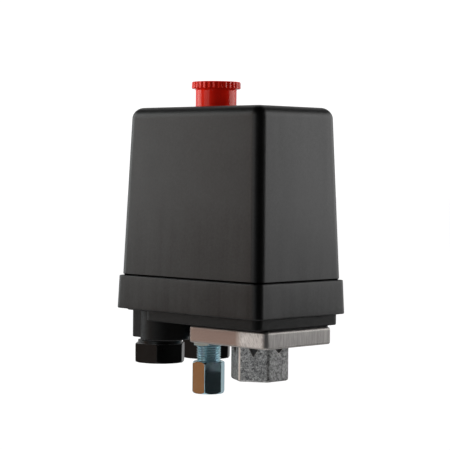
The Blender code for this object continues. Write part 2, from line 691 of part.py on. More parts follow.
def fluted_rim(name):
    """A disc whose edge is a ring of shallow ribs, made from a filled outline."""
    curve = bpy.data.curves.new(name, "CURVE")
    curve.dimensions = "2D"
    curve.fill_mode = "BOTH"
    curve.extrude = KNOB_RIM_HEIGHT / 2
    spline = curve.splines.new("POLY")
    count = KNOB_FLUTES * 4
    spline.points.add(count - 1)
    for i, point in enumerate(spline.points):
        angle = 2 * math.pi * (i + 0.5) / count
        radius = KNOB_RIM_RADIUS - (0.0004 if i % 4 in (2, 3) else 0.0)
        point.co = (radius * math.cos(angle), radius * math.sin(angle), 0.0, 1.0)
    spline.use_cyclic_u = True
    place = (KNOB_X, 0, KNOB_RIM_Z + KNOB_RIM_HEIGHT / 2)
    outline = add_object(name + "_outline", curve, None, place)
    bpy.context.view_layer.update()
    graph = bpy.context.evaluated_depsgraph_get()
    mesh = bpy.data.meshes.new_from_object(outline.evaluated_get(graph))
    bm = bmesh.new()
    bm.from_mesh(mesh)
    bmesh.ops.remove_doubles(bm, verts=bm.verts, dist=0.000001)
    bm.to_mesh(mesh)
    bm.free()
    rim = add_object(name, mesh, None, (0, 0, 0))
    rim.matrix_world = outline.matrix_world
    bpy.data.objects.remove(outline, do_unlink=True)
    return rim


def knob():
    top = KNOB_RIM_Z + 0.0010
    profile = [(0, top), (KNOB_RADIUS, top), (KNOB_RADIUS, COVER_TOP - 0.0080),
               (KNOB_RADIUS - 0.0020, COVER_TOP - 0.0080), (KNOB_RADIUS - 0.0020, COVER_TOP),
               (SHAFT_RADIUS + GAP, COVER_TOP), (SHAFT_RADIUS + GAP, KNOB_RIM_Z - 0.0040),
               (0, KNOB_RIM_Z - 0.0040)]
    cap = turned("knob", "red_plastic", KNOB_X, 0, profile, origin_z=KNOB_RIM_Z, sides=36)
    join(cap, fluted_rim("knob_rim"))


def knob_shaft():
    bottom = CARRIER_TOP + GAP + KNOB_TRAVEL
    cylinder("knob_shaft", "white_plastic", KNOB_X, 0, bottom, KNOB_RIM_Z - 0.0040 - GAP,
             SHAFT_RADIUS, origin=(KNOB_X, 0, bottom), sides=20)
    clip_z = FRAME_TOP - FRAME_STEEL - GAP
    profile = [(0.0056, clip_z), (0.0056, clip_z - 0.0010), (SHAFT_RADIUS + 0.0002,
               clip_z - 0.0010), (SHAFT_RADIUS + 0.0002, clip_z)]
    turned("shaft_clip", "steel", KNOB_X, 0, profile, origin_z=clip_z, sides=20)


# ---------------------------------------------------------------- contacts

def terminal_block():
    """The insulating block: a slab with a well for the bridges, ribs, legs and feet."""
    block = box("terminal_block", "block_plastic", (BLOCK_LEFT, -BLOCK_HALF_WIDTH, BLOCK_Z),
                (BLOCK_RIGHT, BLOCK_HALF_WIDTH, BLOCK_TOP))
    join(block,
         box("left_leg", None, (BLOCK_LEFT, -0.0060, RIM_FLOOR_Z + GAP),
             (BLOCK_LEFT + 0.0030, 0.0060, BLOCK_Z + 0.0005)),
         box("left_foot", None, (BLOCK_LEFT, -0.0050, RIM_FLOOR_Z + GAP),
             (STRIP_LEFT_END, 0.0050, RIM_FLOOR_Z + BLOCK_FOOT_HEIGHT)))
    for side in (-1, 1):
        leg_near, leg_far = sorted((side * 0.0110, side * BLOCK_HALF_WIDTH))
        foot_near, foot_far = sorted((side * (BLOCK_FOOT_Y - 0.0035),
                                      side * (BLOCK_FOOT_Y + 0.0035)))
        rib_near, rib_far = sorted((side * (RIB_Y - 0.0007), side * (RIB_Y + 0.0007)))
        join(block,
             box("right_leg", None, (-0.0060, leg_near, TRAY_FLOOR_Z + GAP),
                 (BLOCK_RIGHT, leg_far, BLOCK_Z + 0.0005)),
             box("right_foot", None, (BLOCK_FOOT_X - 0.0035, foot_near, TRAY_FLOOR_Z + GAP),
                 (BLOCK_FOOT_X + 0.0055, foot_far, TRAY_FLOOR_Z + BLOCK_FOOT_HEIGHT)),
             box("rib", None, (BLOCK_LEFT + 0.0001, rib_near, BLOCK_TOP - 0.001),
                 (BLOCK_RIGHT - 0.0001, rib_far, BLOCK_TOP + RIB_HEIGHT)))
    cut(block, box("bridge_well", None, (SLOT_LEFT, -0.0178, BLOCK_Z - 0.002),
                   (SLOT_RIGHT, 0.0178, BLOCK_TOP + 0.010)))
    cut(block, cylinder("left_foot_hole", None, BLOCK_LEFT_FOOT_X, 0, RIM_FLOOR_Z - 0.002,
                        RIM_FLOOR_Z + 0.004, 0.0017, sides=12))
    for side in (-1, 1):
        cut(block, cylinder("right_foot_hole", None, BLOCK_FOOT_X, side * BLOCK_FOOT_Y,
                            TRAY_FLOOR_Z - 0.002, TRAY_FLOOR_Z + 0.004, 0.0017, sides=12))
    for pole in (-1, 0, 1):
        for x in (TERMINAL_LEFT_X, TERMINAL_RIGHT_X):
            cut(block, cylinder("terminal_hole", None, x, pole * POLE_PITCH,
                                BLOCK_TOP - 0.0080, BLOCK_TOP + 0.002, 0.0018, sides=8))


def fixed_contacts():
    """A brass strip for each end of each pole, reaching over the bridge well."""
    seat = BLOCK_TOP + GAP
    spans = ((TERMINAL_LEFT_X, BLOCK_LEFT + GAP, STRIP_LEFT_END),
             (TERMINAL_RIGHT_X, STRIP_RIGHT_END, BLOCK_RIGHT - GAP))
    number = 0
    for pole in (-1, 0, 1):
        y = pole * POLE_PITCH
        for x, left, right in spans:
            number += 1
            strip = box("fixed_contact_%d" % number, "brass", (left, y - 0.0039, seat),
                        (right, y + 0.0039, seat + 0.0012))
            cut(strip, cylinder("strip_hole", None, x, y, seat - 0.002, seat + 0.004,
                                0.0018, sides=10))
            slotted_screw("terminal_screw_%d" % number, "steel", x, y, seat + 0.0012,
                          0.0032, 0.0020, 0.0015, 0.0080)


def contact_carrier():
    """The slider that hangs from the lever and holds the three contact bridges."""
    left = CARRIER_X - CARRIER_HALF_LENGTH
    right = CARRIER_X + CARRIER_HALF_LENGTH
    foot_top = LEVER_Z - GAP
    carrier = box("contact_carrier", "white_plastic", (left, -0.0165, CARRIER_Z),
                  (right, 0.0165, CARRIER_BAR_TOP), origin=(CARRIER_X, 0, foot_top))
    inset = 0.0001
    join(carrier,
         box("carrier_stem", None, (left + inset, -0.0025, foot_top - 0.001),
             (right - inset, 0.0025, CARRIER_Z + 0.001)),
         box("carrier_foot", None, (left, -0.0060, foot_top - 0.0026),
             (right, 0.0060, foot_top)),
         box("carrier_neck", None, (left + inset, -0.0040, CARRIER_BAR_TOP - 0.001),
             (right - inset, 0.0040, CARRIER_TOP - 0.0020)),
         box("carrier_head", None, (left, -0.0050, CARRIER_TOP - 0.0032),
             (-0.0050, 0.0050, CARRIER_TOP)))
    for pole in (-1, 0, 1):
        y = pole * POLE_PITCH
        cut(carrier, box("bridge_window", None, (left - 0.002, y - 0.0029, WINDOW_Z),
                         (right + 0.002, y + 0.0029, WINDOW_Z + 0.0070)))


def contact_bridges():
    """Three brass bridges with a contact button at each end, each on its spring."""
    bar_z = BRIDGE_Z
    for number, pole in enumerate((-1, 0, 1), start=1):
        y = pole * POLE_PITCH
        bridge = box("contact_bridge_%d" % number, "brass",
                     (CARRIER_X - 0.0085, y - 0.0024, bar_z),
                     (CARRIER_X + 0.0085, y + 0.0024, bar_z + 0.0008),
                     origin=(CARRIER_X, y, bar_z))
        for end in (-1, 1):
            join(bridge, cylinder("button", None, CARRIER_X + end * 0.0067, y,
                                  bar_z + 0.0005, bar_z + 0.00125, 0.0016, sides=12))
        coil("contact_spring_%d" % number, "steel", CARRIER_X, y, WINDOW_Z + GAP, bar_z - GAP,
             0.0014, 0.0004, 3.5, 9, 0, bar_z)


# ---------------------------------------------------------------- cable glands

def gland(side, label):
    """A hexagonal gland nut with its clamping washer and rubber seal."""
    y = side * GLAND_Y
    stem_top = GLAND_SHOULDER_Z - GLAND_STEM_LENGTH
    hex_top = GLAND_NUT_Z + GLAND_NUT_HEIGHT
    chamfer = 0.0006
    corner = GLAND_ACROSS_FLATS / math.sqrt(3)
    outside = [(0, hex_top), (corner - 0.0010, hex_top), (corner, hex_top - chamfer),
               (corner, GLAND_NUT_Z + chamfer), (corner - 0.0010, GLAND_NUT_Z),
               (0, GLAND_NUT_Z)]
    nut = hexagon("gland_nut_" + label, "gland_plastic", GLAND_X, y, GLAND_NUT_Z, hex_top,
                  GLAND_ACROSS_FLATS, turn=GLAND_TURN)
    boolean(nut, turned("gland_chamfer", None, GLAND_X, y, outside, sides=30), "INTERSECT")
    stem = [(0, stem_top), (GLAND_STEM, stem_top), (GLAND_STEM, GLAND_COLLAR_Z - GAP),
            (GLAND_SHOULDER, GLAND_COLLAR_Z - GAP), (GLAND_SHOULDER, hex_top - 0.0005),
            (0, hex_top - 0.0005)]
    join(nut, turned("gland_stem", None, GLAND_X, y, stem, sides=24))
    cut(nut, cylinder("gland_cable_hole", None, GLAND_X, y, GLAND_NUT_Z - 0.002,
                      stem_top + 0.002, CABLE_HOLE, sides=20))
    washer_z = stem_top + GAP
    seal_z = washer_z + GLAND_WASHER + GAP
    ring("gland_washer_" + label, "steel", GLAND_X, y, washer_z, washer_z + GLAND_WASHER,
         GLAND_STEM, CABLE_HOLE)
    ring("gland_seal_" + label, "rubber", GLAND_X, y, seal_z, GLAND_SHOULDER_Z - GAP,
         GLAND_STEM, CABLE_HOLE - 0.0006)


def ring(name, finish, x, y, bottom, top, outer, inner):
    profile = [(outer, top), (outer, bottom), (inner, bottom), (inner, top)]
    turned(name, finish, x, y, profile, origin_z=bottom, sides=20)


# ---------------------------------------------------------------- unloader

def unloader_body():
    """Hexagon under the tray, a stem through its floor and a threaded tube end."""
    top = TRAY_Z - GAP
    corner = UNLOADER_ACROSS_FLATS / math.sqrt(3)
    chamfer = 0.0006
    outside = [(0, top), (corner, top), (corner, UNLOADER_BODY_Z + chamfer),
               (corner - 2 * chamfer, UNLOADER_BODY_Z), (0, UNLOADER_BODY_Z)]
    body = hexagon("unloader_body", "blue_zinc", UNLOADER_X, 0, UNLOADER_BODY_Z, top,
                   UNLOADER_ACROSS_FLATS, turn=UNLOADER_BODY_TURN)
    boolean(body, turned("body_chamfer", None, UNLOADER_X, 0, outside, sides=36),
            "INTERSECT")
    stem_top = TRAY_FLOOR_Z + 0.0028
    tube_end = UNLOADER_TUBE_END
    shoulder = top - 0.0020
    spindle = [(0, stem_top), (UNLOADER_STEM, stem_top), (UNLOADER_STEM, shoulder),
               (UNLOADER_THREAD, shoulder - 0.0010), (UNLOADER_THREAD, tube_end + chamfer),
               (UNLOADER_THREAD - chamfer, tube_end), (0, tube_end)]
    join(body, turned("body_spindle", None, UNLOADER_X, 0, spindle, sides=28))
    cut(body,
        cylinder("tube_socket", None, UNLOADER_X, 0, tube_end - 0.002, TUBE_SOCKET_Z,
                 TUBE_HOLE, sides=20),
        cylinder("valve_orifice", None, UNLOADER_X, 0, TUBE_SOCKET_Z - 0.001,
                 VALVE_BORE_Z + 0.001, 0.0010, sides=12),
        cylinder("valve_bore", None, UNLOADER_X, 0, VALVE_BORE_Z, stem_top + 0.002,
                 VALVE_BORE, sides=20))
    nut_z = TRAY_FLOOR_Z + GAP
    locknut = hexagon("unloader_locknut", "blue_zinc", UNLOADER_X, 0, nut_z, nut_z + 0.0020,
                      0.0110)
    cut(locknut, cylinder("locknut_thread", None, UNLOADER_X, 0, nut_z - 0.002,
                          nut_z + 0.004, UNLOADER_STEM + GAP, sides=28))


def unloader_valve():
    """The pin that the lever presses, with its valve head and return spring."""
    top = LEVER_Z - GAP
    head = VALVE_HEAD_Z
    tail = head - 0.0032
    profile = [(0, top), (0.0009, top), (0.0012, top - 0.0003), (0.0012, head + 0.0015),
               (0.0026, head + 0.0015), (0.0026, head), (0.0012, head), (0.0012, tail),
               (0, tail)]
    turned("unloader_pin", "brass", UNLOADER_X, 0, profile, origin_z=head, sides=14)
    coil("unloader_spring", "steel", UNLOADER_X, 0, VALVE_BORE_Z + 0.0002, head - GAP,
         0.0021, 0.0005, 4.5, 9, 0, head)


def unloader_nut():
    """The compression nut for the small discharge tube, and its cutting ring."""
    corner = UNLOADER_ACROSS_FLATS / math.sqrt(3)
    chamfer = 0.0006
    rim = corner - 2 * chamfer
    outside = [(0, UNLOADER_NUT_HEIGHT), (rim, UNLOADER_NUT_HEIGHT),
               (corner, UNLOADER_NUT_HEIGHT - chamfer), (corner, chamfer),
               (rim, 0), (0, 0)]
    nut = hexagon("unloader_nut", "blue_zinc", UNLOADER_X, 0, 0, UNLOADER_NUT_HEIGHT,
                  UNLOADER_ACROSS_FLATS, turn=UNLOADER_NUT_TURN)
    boolean(nut, turned("nut_chamfer", None, UNLOADER_X, 0, outside, sides=36), "INTERSECT")
    cut(nut,
        cylinder("nut_tube_hole", None, UNLOADER_X, 0, -0.002, 0.0040, TUBE_HOLE, sides=20),
        cylinder("nut_bore", None, UNLOADER_X, 0, NUT_BORE_Z, UNLOADER_NUT_HEIGHT + 0.002,
                 UNLOADER_THREAD + GAP, sides=28))
    seat = NUT_BORE_Z + GAP
    tip = UNLOADER_TUBE_END - 0.0004
    profile = [(0.0041, tip), (0.0046, seat + 0.0012), (0.0046, seat), (TUBE_HOLE, seat),
               (TUBE_HOLE, tip)]
    turned("ferrule", "brass", UNLOADER_X, 0, profile, origin_z=seat, sides=20)


# ---------------------------------------------------------------- fasteners

def flange_screws():
    """Four screws through the frame's feet, the tray and the diaphragm."""
    seat = TRAY_FLOOR_Z + GAP + FRAME_STEEL
    number = 0
    for side in (-1, 1):
        for end in (-1, 1):
            number += 1
            slotted_screw("flange_screw_%d" % number, "steel",
                          PORT_X + end * FLANGE_SCREW_X, side * FLANGE_SCREW_Y, seat,
                          0.0033, 0.0024, 0.0017, 0.0115)


def inner_screws():
    """The ground screw on the frame and the three screws of the terminal block."""
    foot_seat = TRAY_FLOOR_Z + GAP + FRAME_STEEL
    slotted_screw("ground_screw", "brass", PORT_X, GROUND_SCREW_Y, foot_seat, 0.0028, 0.0020,
                  0.0017, 0.0035)
    places = ((BLOCK_LEFT_FOOT_X, 0.0, RIM_FLOOR_Z),
              (BLOCK_FOOT_X, -BLOCK_FOOT_Y, TRAY_FLOOR_Z),
              (BLOCK_FOOT_X, BLOCK_FOOT_Y, TRAY_FLOOR_Z))
    for number, (x, y, floor) in enumerate(places, start=1):
        slotted_screw("block_screw_%d" % number, "steel", x, y, floor + BLOCK_FOOT_HEIGHT,
                      0.0024, 0.0016, 0.0014, 0.0042)


cover()
cover_fastening()
base()
flange()
diaphragm()
piston()
mechanism_frame()
main_lever()
lever_pivot_pin()
range_adjuster()
differential_adjuster()
knob()
knob_shaft()
terminal_block()
fixed_contacts()
contact_carrier()
contact_bridges()
gland(-1, "front")
gland(1, "rear")
unloader_body()
unloader_valve()
unloader_nut()
flange_screws()
inner_screws()
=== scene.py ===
"""Looks for the compressor pressure switch: fine meshes, procedural materials, studio.

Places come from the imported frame, and the sizes below agree with its solids. Lengths are
in metres, +Z is up.
"""

import json
import math

import bmesh
import bpy
from mathutils import Matrix, Vector


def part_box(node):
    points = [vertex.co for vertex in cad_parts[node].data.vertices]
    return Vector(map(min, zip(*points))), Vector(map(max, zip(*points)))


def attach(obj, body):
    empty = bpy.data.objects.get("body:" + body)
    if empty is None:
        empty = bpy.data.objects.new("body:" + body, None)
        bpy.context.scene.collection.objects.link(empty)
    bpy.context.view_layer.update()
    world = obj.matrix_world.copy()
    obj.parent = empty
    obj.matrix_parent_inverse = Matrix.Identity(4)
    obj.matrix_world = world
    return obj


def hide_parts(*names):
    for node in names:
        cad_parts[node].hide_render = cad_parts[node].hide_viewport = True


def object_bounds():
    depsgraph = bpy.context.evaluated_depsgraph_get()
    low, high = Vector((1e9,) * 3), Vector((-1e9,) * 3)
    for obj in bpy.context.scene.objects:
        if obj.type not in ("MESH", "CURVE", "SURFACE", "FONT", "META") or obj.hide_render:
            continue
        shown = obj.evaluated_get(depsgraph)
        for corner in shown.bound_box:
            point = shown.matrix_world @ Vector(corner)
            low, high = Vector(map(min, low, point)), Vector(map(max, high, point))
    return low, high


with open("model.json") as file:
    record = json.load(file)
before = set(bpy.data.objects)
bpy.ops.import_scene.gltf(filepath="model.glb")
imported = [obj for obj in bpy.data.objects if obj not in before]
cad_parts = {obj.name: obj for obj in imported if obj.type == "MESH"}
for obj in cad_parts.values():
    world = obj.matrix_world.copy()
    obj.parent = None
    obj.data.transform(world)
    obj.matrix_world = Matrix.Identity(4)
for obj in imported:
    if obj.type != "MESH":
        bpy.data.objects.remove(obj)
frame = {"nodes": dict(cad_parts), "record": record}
CAD_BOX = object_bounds()
NODES = frame["nodes"]

# ------------------------------------------------ places
COVER_LOW, COVER_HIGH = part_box("cover")
BASE_LOW, BASE_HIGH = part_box("base")
FLANGE_LOW, FLANGE_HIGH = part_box("flange")
KNOB_LOW, KNOB_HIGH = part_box("knob")
BODY_LOW, BODY_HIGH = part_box("unloader_body")
NUT_LOW, NUT_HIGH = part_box("unloader_nut")
GLAND_LOW, GLAND_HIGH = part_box("gland_nut_front")
SCREW_LOW, SCREW_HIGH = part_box("cover_screw")
SHEET_LOW, SHEET_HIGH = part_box("diaphragm")
SKIRT_Z = COVER_LOW.z
COVER_TOP = COVER_HIGH.z
KNOB_X = (KNOB_LOW.x + KNOB_HIGH.x) / 2
PORT_X = (FLANGE_LOW.x + FLANGE_HIGH.x) / 2
UNLOADER_X = (NUT_LOW.x + NUT_HIGH.x) / 2
GLAND_X = (GLAND_LOW.x + GLAND_HIGH.x) / 2
GLAND_Y = -(GLAND_LOW.y + GLAND_HIGH.y) / 2
POST_X = (SCREW_LOW.x + SCREW_HIGH.x) / 2

# ------------------------------------------------ sizes
DRAFT = math.tan(math.radians(2.05))
SKIRT_HEIGHT = 0.0146
SKIRT_LEDGE = 0.0009
SKIRT_CORNER = 0.0037
COVER_CORNER = 0.0045
COVER_EDGE = 0.0050
COVER_WALL = 0.0020
LEDGE_Z = SKIRT_Z + SKIRT_HEIGHT
SKIRT_LEAN = SKIRT_HEIGHT * DRAFT
WALL_INSET = SKIRT_LEDGE + SKIRT_LEAN
TOP_INSET = WALL_INSET + (COVER_TOP - COVER_EDGE - LEDGE_Z) * DRAFT
GROOVE = 0.0005
SCREW_RECESS = 0.0036
SCREW_RECESS_DEPTH = 0.0030
SCREW_HOLE = 0.0019
KNOB_RADIUS = 0.0090
KNOB_RIM = 0.01075
KNOB_RIM_HEIGHT = 0.0031
KNOB_DISH = 0.0078
KNOB_FLUTES = 30
FLUTE_DEPTH = 0.0004
SHAFT_HOLE = 0.0038
RIM_Z = 0.0366
TRAY_WALL = 0.0022
TRAY_CORNER = 0.0035
TRAY_FLOOR = 0.0020
WELL_FLOOR = 0.0029
BLOCK_RIGHT = -0.0200
BLOCK_HALF_WIDTH = 0.0220
COLLAR_RADIUS = 0.0107
COLLAR_OFFSET = (0.0014, 0.0013)
GLAND_BORE = 0.0083
CABLE_ENTRY = 0.0060
GLAND_FLATS = 0.0206
GLAND_TURN = math.radians(-19.7)
GLAND_NUT_HEIGHT = 0.0084
GLAND_STEM = 0.0080
GLAND_PITCH = 0.0015
CABLE_HOLE = 0.0046
PLATE_Z = 0.02445
BOSS_FLATS = 0.0223
BOSS_CORNER = 0.0018
MARK_DEPTH = 0.0014
PORT_BORE = 0.0059
PORT_DEPTH = 0.0125
PORT_PASSAGE = 0.0030
CHAMBER_RADIUS = 0.0118
CHAMBER_DEPTH = 0.0025
FITTING_FLATS = 0.0130
BODY_TURN = math.radians(-15.4)
BODY_HEX_Z = 0.0213
NUT_TURN = math.radians(-28.0)
THREAD_RADIUS = 0.0054
STEM_RADIUS = 0.0045
TUBE_HOLE = 0.0031
TUBE_SOCKET_TOP = 0.0170
VALVE_BORE_Z = 0.0235
NUT_BORE_Z = 0.0030
SHANK_RADIUS = 0.0015


# ------------------------------------------------ mesh helpers
def add(name, mesh, node, slot, body="housing", look=None):
    """Shows a mesh in place of a CAD node, on the body that carries the node."""
    piece = bpy.data.objects.new(name, mesh)
    bpy.context.scene.collection.objects.link(piece)
    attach(piece, body)
    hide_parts(node)
    flat = piece.modifiers.new("flat_faces", "WEIGHTED_NORMAL")
    flat.weight = 100
    flat.keep_sharp = True
    return dress(piece, look or slot)


def to_mesh(name, bm, sharp=32.0):
    bmesh.ops.recalc_face_normals(bm, faces=bm.faces)
    mesh = bpy.data.meshes.new(name)
    bm.to_mesh(mesh)
    bm.free()
    return smooth(mesh, sharp)


def smooth(mesh, sharp=32.0):
    mesh.shade_smooth()
    mesh.set_sharp_from_angle(angle=math.radians(sharp))
    return mesh


def loose(mesh):
    """A tool object that is only used inside a Boolean."""
    tool = bpy.data.objects.new(mesh.name + "_tool", mesh)
    bpy.context.scene.collection.objects.link(tool)
    return tool


def combine(mesh, steps, sharp=32.0):
    """Applies (operation, mesh) Boolean steps in order and returns the new mesh."""
    target = loose(mesh)
    tools = []
    for operation, tool_mesh in steps:
        tool = loose(tool_mesh)
        tools.append(tool)
        modifier = target.modifiers.new(operation, "BOOLEAN")
        modifier.operation = operation
        modifier.object = tool
        modifier.solver = "EXACT"
    bpy.context.view_layer.update()
    graph = bpy.context.evaluated_depsgraph_get()
    result = bpy.data.meshes.new_from_object(target.evaluated_get(graph))
    for tool in tools + [target]:
        bpy.data.objects.remove(tool, do_unlink=True)
    result.name = mesh.name
    result.materials.clear()
    return smooth(result, sharp)


def outline(half_x, half_y, radius, belly=0.0, per_side=10, per_corner=8, centre=(0.0, 0.0)):
    """Points of a rounded rectangle whose sides swell outward by belly, anticlockwise."""
    points = []
    for corner in range(4):
        sx = 1 if corner in (0, 3) else -1
        sy = 1 if corner in (0, 1) else -1
        cx = sx * (half_x - radius)
        cy = sy * (half_y - radius)
        for step in range(per_corner + 1):
            angle = math.pi / 2 * (corner + step / per_corner)
            points.append((cx + radius * math.cos(angle), cy + radius * math.sin(angle)))
        along_x = corner in (0, 2)
        length = 2 * ((half_x if along_x else half_y) - radius)
        for step in range(1, per_side):
            share = step / per_side
            swell = belly * math.sin(math.pi * share)
            travel = length * share
            angle = math.pi / 2 * (corner + 1)
            nx, ny = math.cos(angle), math.sin(angle)
            bx = cx + radius * nx
            by = cy + radius * ny
            points.append((bx - ny * travel + nx * swell, by + nx * travel + ny * swell))
    return [(x + centre[0], y + centre[1]) for x, y in points]


def ring(bm, points, z):
    return [bm.verts.new((x, y, z)) for x, y in points]


def bridge(bm, rings):
    """Faces between rings of points; a ring of one point is a tip."""
    for lower, upper in zip(rings, rings[1:]):
        count = max(len(lower), len(upper))
        for i in range(count if count > 1 else 0):
            j = (i + 1) % count
            if len(lower) == 1:
                bm.faces.new((lower[0], upper[j], upper[i]))
            elif len(upper) == 1:
                bm.faces.new((lower[i], lower[j], upper[0]))
            else:
                bm.faces.new((lower[i], lower[j], upper[j], upper[i]))


def cap(bm, rings):
    bm.faces.new(list(reversed(rings[0])))
    bm.faces.new(rings[-1])


def arc(centre_r, centre_z, radius, start, end, steps):
    """(r, z) points of a circular arc, angles in degrees from +r towards +z."""
    points = []
    for step in range(steps + 1):
        angle = math.radians(start + (end - start) * step / steps)
        points.append((centre_r + radius * math.cos(angle), centre_z + radius * math.sin(angle)))
    return points


def plug(radius, bottom, top):
    """Profile of a plain upright cylinder."""
    return [(0, bottom), (radius, bottom), (radius, top), (0, top)]


def lathe(name, profile, centre, steps):
    """A solid of revolution round a vertical axis; the profile runs from axis to axis."""
    bm = bmesh.new()
    rings = []
    for radius, z in profile:
        angles = [2 * math.pi * i / steps for i in range(steps if radius else 1)]
        rings.append([bm.verts.new((centre[0] + radius * math.cos(angle),
                                    centre[1] + radius * math.sin(angle), z))
                      for angle in angles])
    bridge(bm, rings)
    return to_mesh(name, bm)


def polygon(sides, across_flats, centre, turn=0.0, corner=0.0, per_corner=4):
    """A regular polygon with rounded corners; with no turn a flat faces +X."""
    apothem = across_flats / 2
    radius = (apothem - corner) / math.cos(math.pi / sides)
    points = []
    for i in range(sides):
        middle = math.pi / sides * (2 * i + 1) + turn
        cx = radius * math.cos(middle)
        cy = radius * math.sin(middle)
        if corner <= 0:
            points.append((centre[0] + cx, centre[1] + cy))
            continue
        for step in range(per_corner + 1):
            angle = middle + math.pi / sides * (2 * step / per_corner - 1)
            points.append((centre[0] + cx + corner * math.cos(angle),
                           centre[1] + cy + corner * math.sin(angle)))
    return points


def layered(name, layers, sharp=32.0):
    """A closed body from (points, z) layers, bottom to top, capped at both ends."""
    bm = bmesh.new()
    rings = [ring(bm, points, z) for points, z in layers]
    bridge(bm, rings)
    cap(bm, rings)
    return to_mesh(name, bm, sharp)


def prism(name, points, bottom, top):
    return layered(name, [(points, bottom), (points, top)])


def soft_block(name, left, right, half_y, radius, bottom, top, edge, steps=5, sharp=32.0):
    """An upright block with round corners and rounded upper and lower edges."""
    half_x = (right - left) / 2
    centre = ((left + right) / 2, 0.0)
    lower = [(bottom + edge * (1 - math.cos(math.pi / 2 * s / steps)),
              edge * (1 - math.sin(math.pi / 2 * s / steps))) for s in range(steps + 1)]
    upper = [(top - z + bottom, inset) for z, inset in reversed(lower)]
    layers = []
    for z, inset in lower + upper:
        layers.append((outline(half_x - inset, half_y - inset, max(radius - inset, 0.0003),
                               centre=centre, per_side=4), z))
    return layered(name, layers, sharp)


def helix_thread(name, centre, radius, depth, pitch, bottom, top, steps=40, inward=False):
    """A closed rod whose side is a real helical thread, with faded ends."""
    bm = bmesh.new()
    per_pitch = 8
    rows = int(round((top - bottom) / pitch * per_pitch))
    rings = []
    for row in range(rows + 1):
        z = bottom + (top - bottom) * row / rows
        line = []
        for i in range(steps):
            angle = 2 * math.pi * i / steps
            phase = ((z - bottom) / pitch - i / steps) % 1.0
            wave = abs(2 * phase - 1)
            wave = min(1.0, max(0.0, (wave - 0.1) / 0.8))
            fade = min(1.0, (z - bottom) / (0.6 * pitch), (top - z) / (0.6 * pitch))
            cut = depth * wave * max(0.0, fade) + depth * 0.6 * (1 - max(0.0, fade))
            r = radius + cut if inward else radius - cut
            line.append(bm.verts.new((centre[0] + r * math.cos(angle),
                                      centre[1] + r * math.sin(angle), z)))
        rings.append(line)
    bridge(bm, rings)
    cap(bm, rings)
    return to_mesh(name, bm, 60.0)


# ------------------------------------------------ node helpers
class Nodes:
    """A small wrapper that keeps node trees short to write."""

    def __init__(self, tree, coordinates):
        self.tree = tree
        self.tree.nodes.clear()
        self.place = self.node("ShaderNodeTexCoord").outputs[coordinates]

    def node(self, kind, **settings):
        made = self.tree.nodes.new(kind)
        for key, value in settings.items():
            setattr(made, key, value)
        return made

    def put(self, socket, value):
        if isinstance(value, bpy.types.NodeSocket):
            self.tree.links.new(value, socket)
        elif isinstance(value, tuple) and len(value) == 3 and socket.type == "RGBA":
            socket.default_value = (*value, 1.0)
        else:
            socket.default_value = value

    def ramp(self, value, low, high, start=0.0, end=1.0):
        made = self.node("ShaderNodeMapRange")
        self.put(made.inputs["Value"], value)
        made.inputs["From Min"].default_value = low
        made.inputs["From Max"].default_value = high
        made.inputs["To Min"].default_value = start
        made.inputs["To Max"].default_value = end
        return made.outputs[0]

    def math(self, operation, first, second=0.0):
        made = self.node("ShaderNodeMath", operation=operation)
        self.put(made.inputs[0], first)
        self.put(made.inputs[1], second)
        return made.outputs[0]

    def dot(self, first, second):
        made = self.node("ShaderNodeVectorMath", operation="DOT_PRODUCT")
        self.put(made.inputs[0], first)
        self.put(made.inputs[1], second)
        return made.outputs["Value"]

    def axis(self, name):
        split = self.node("ShaderNodeSeparateXYZ")
        self.put(split.inputs[0], self.place)
        return split.outputs[name]

    def for_camera(self, elsewhere, seen, out):
        """One shader for camera rays and another for all other rays."""
        made = self.node("ShaderNodeMixShader")
        self.put(made.inputs[0], self.node("ShaderNodeLightPath").outputs["Is Camera Ray"])
        self.put(made.inputs[1], elsewhere)
        self.put(made.inputs[2], seen)
        self.put(out.inputs[0], made.outputs[0])


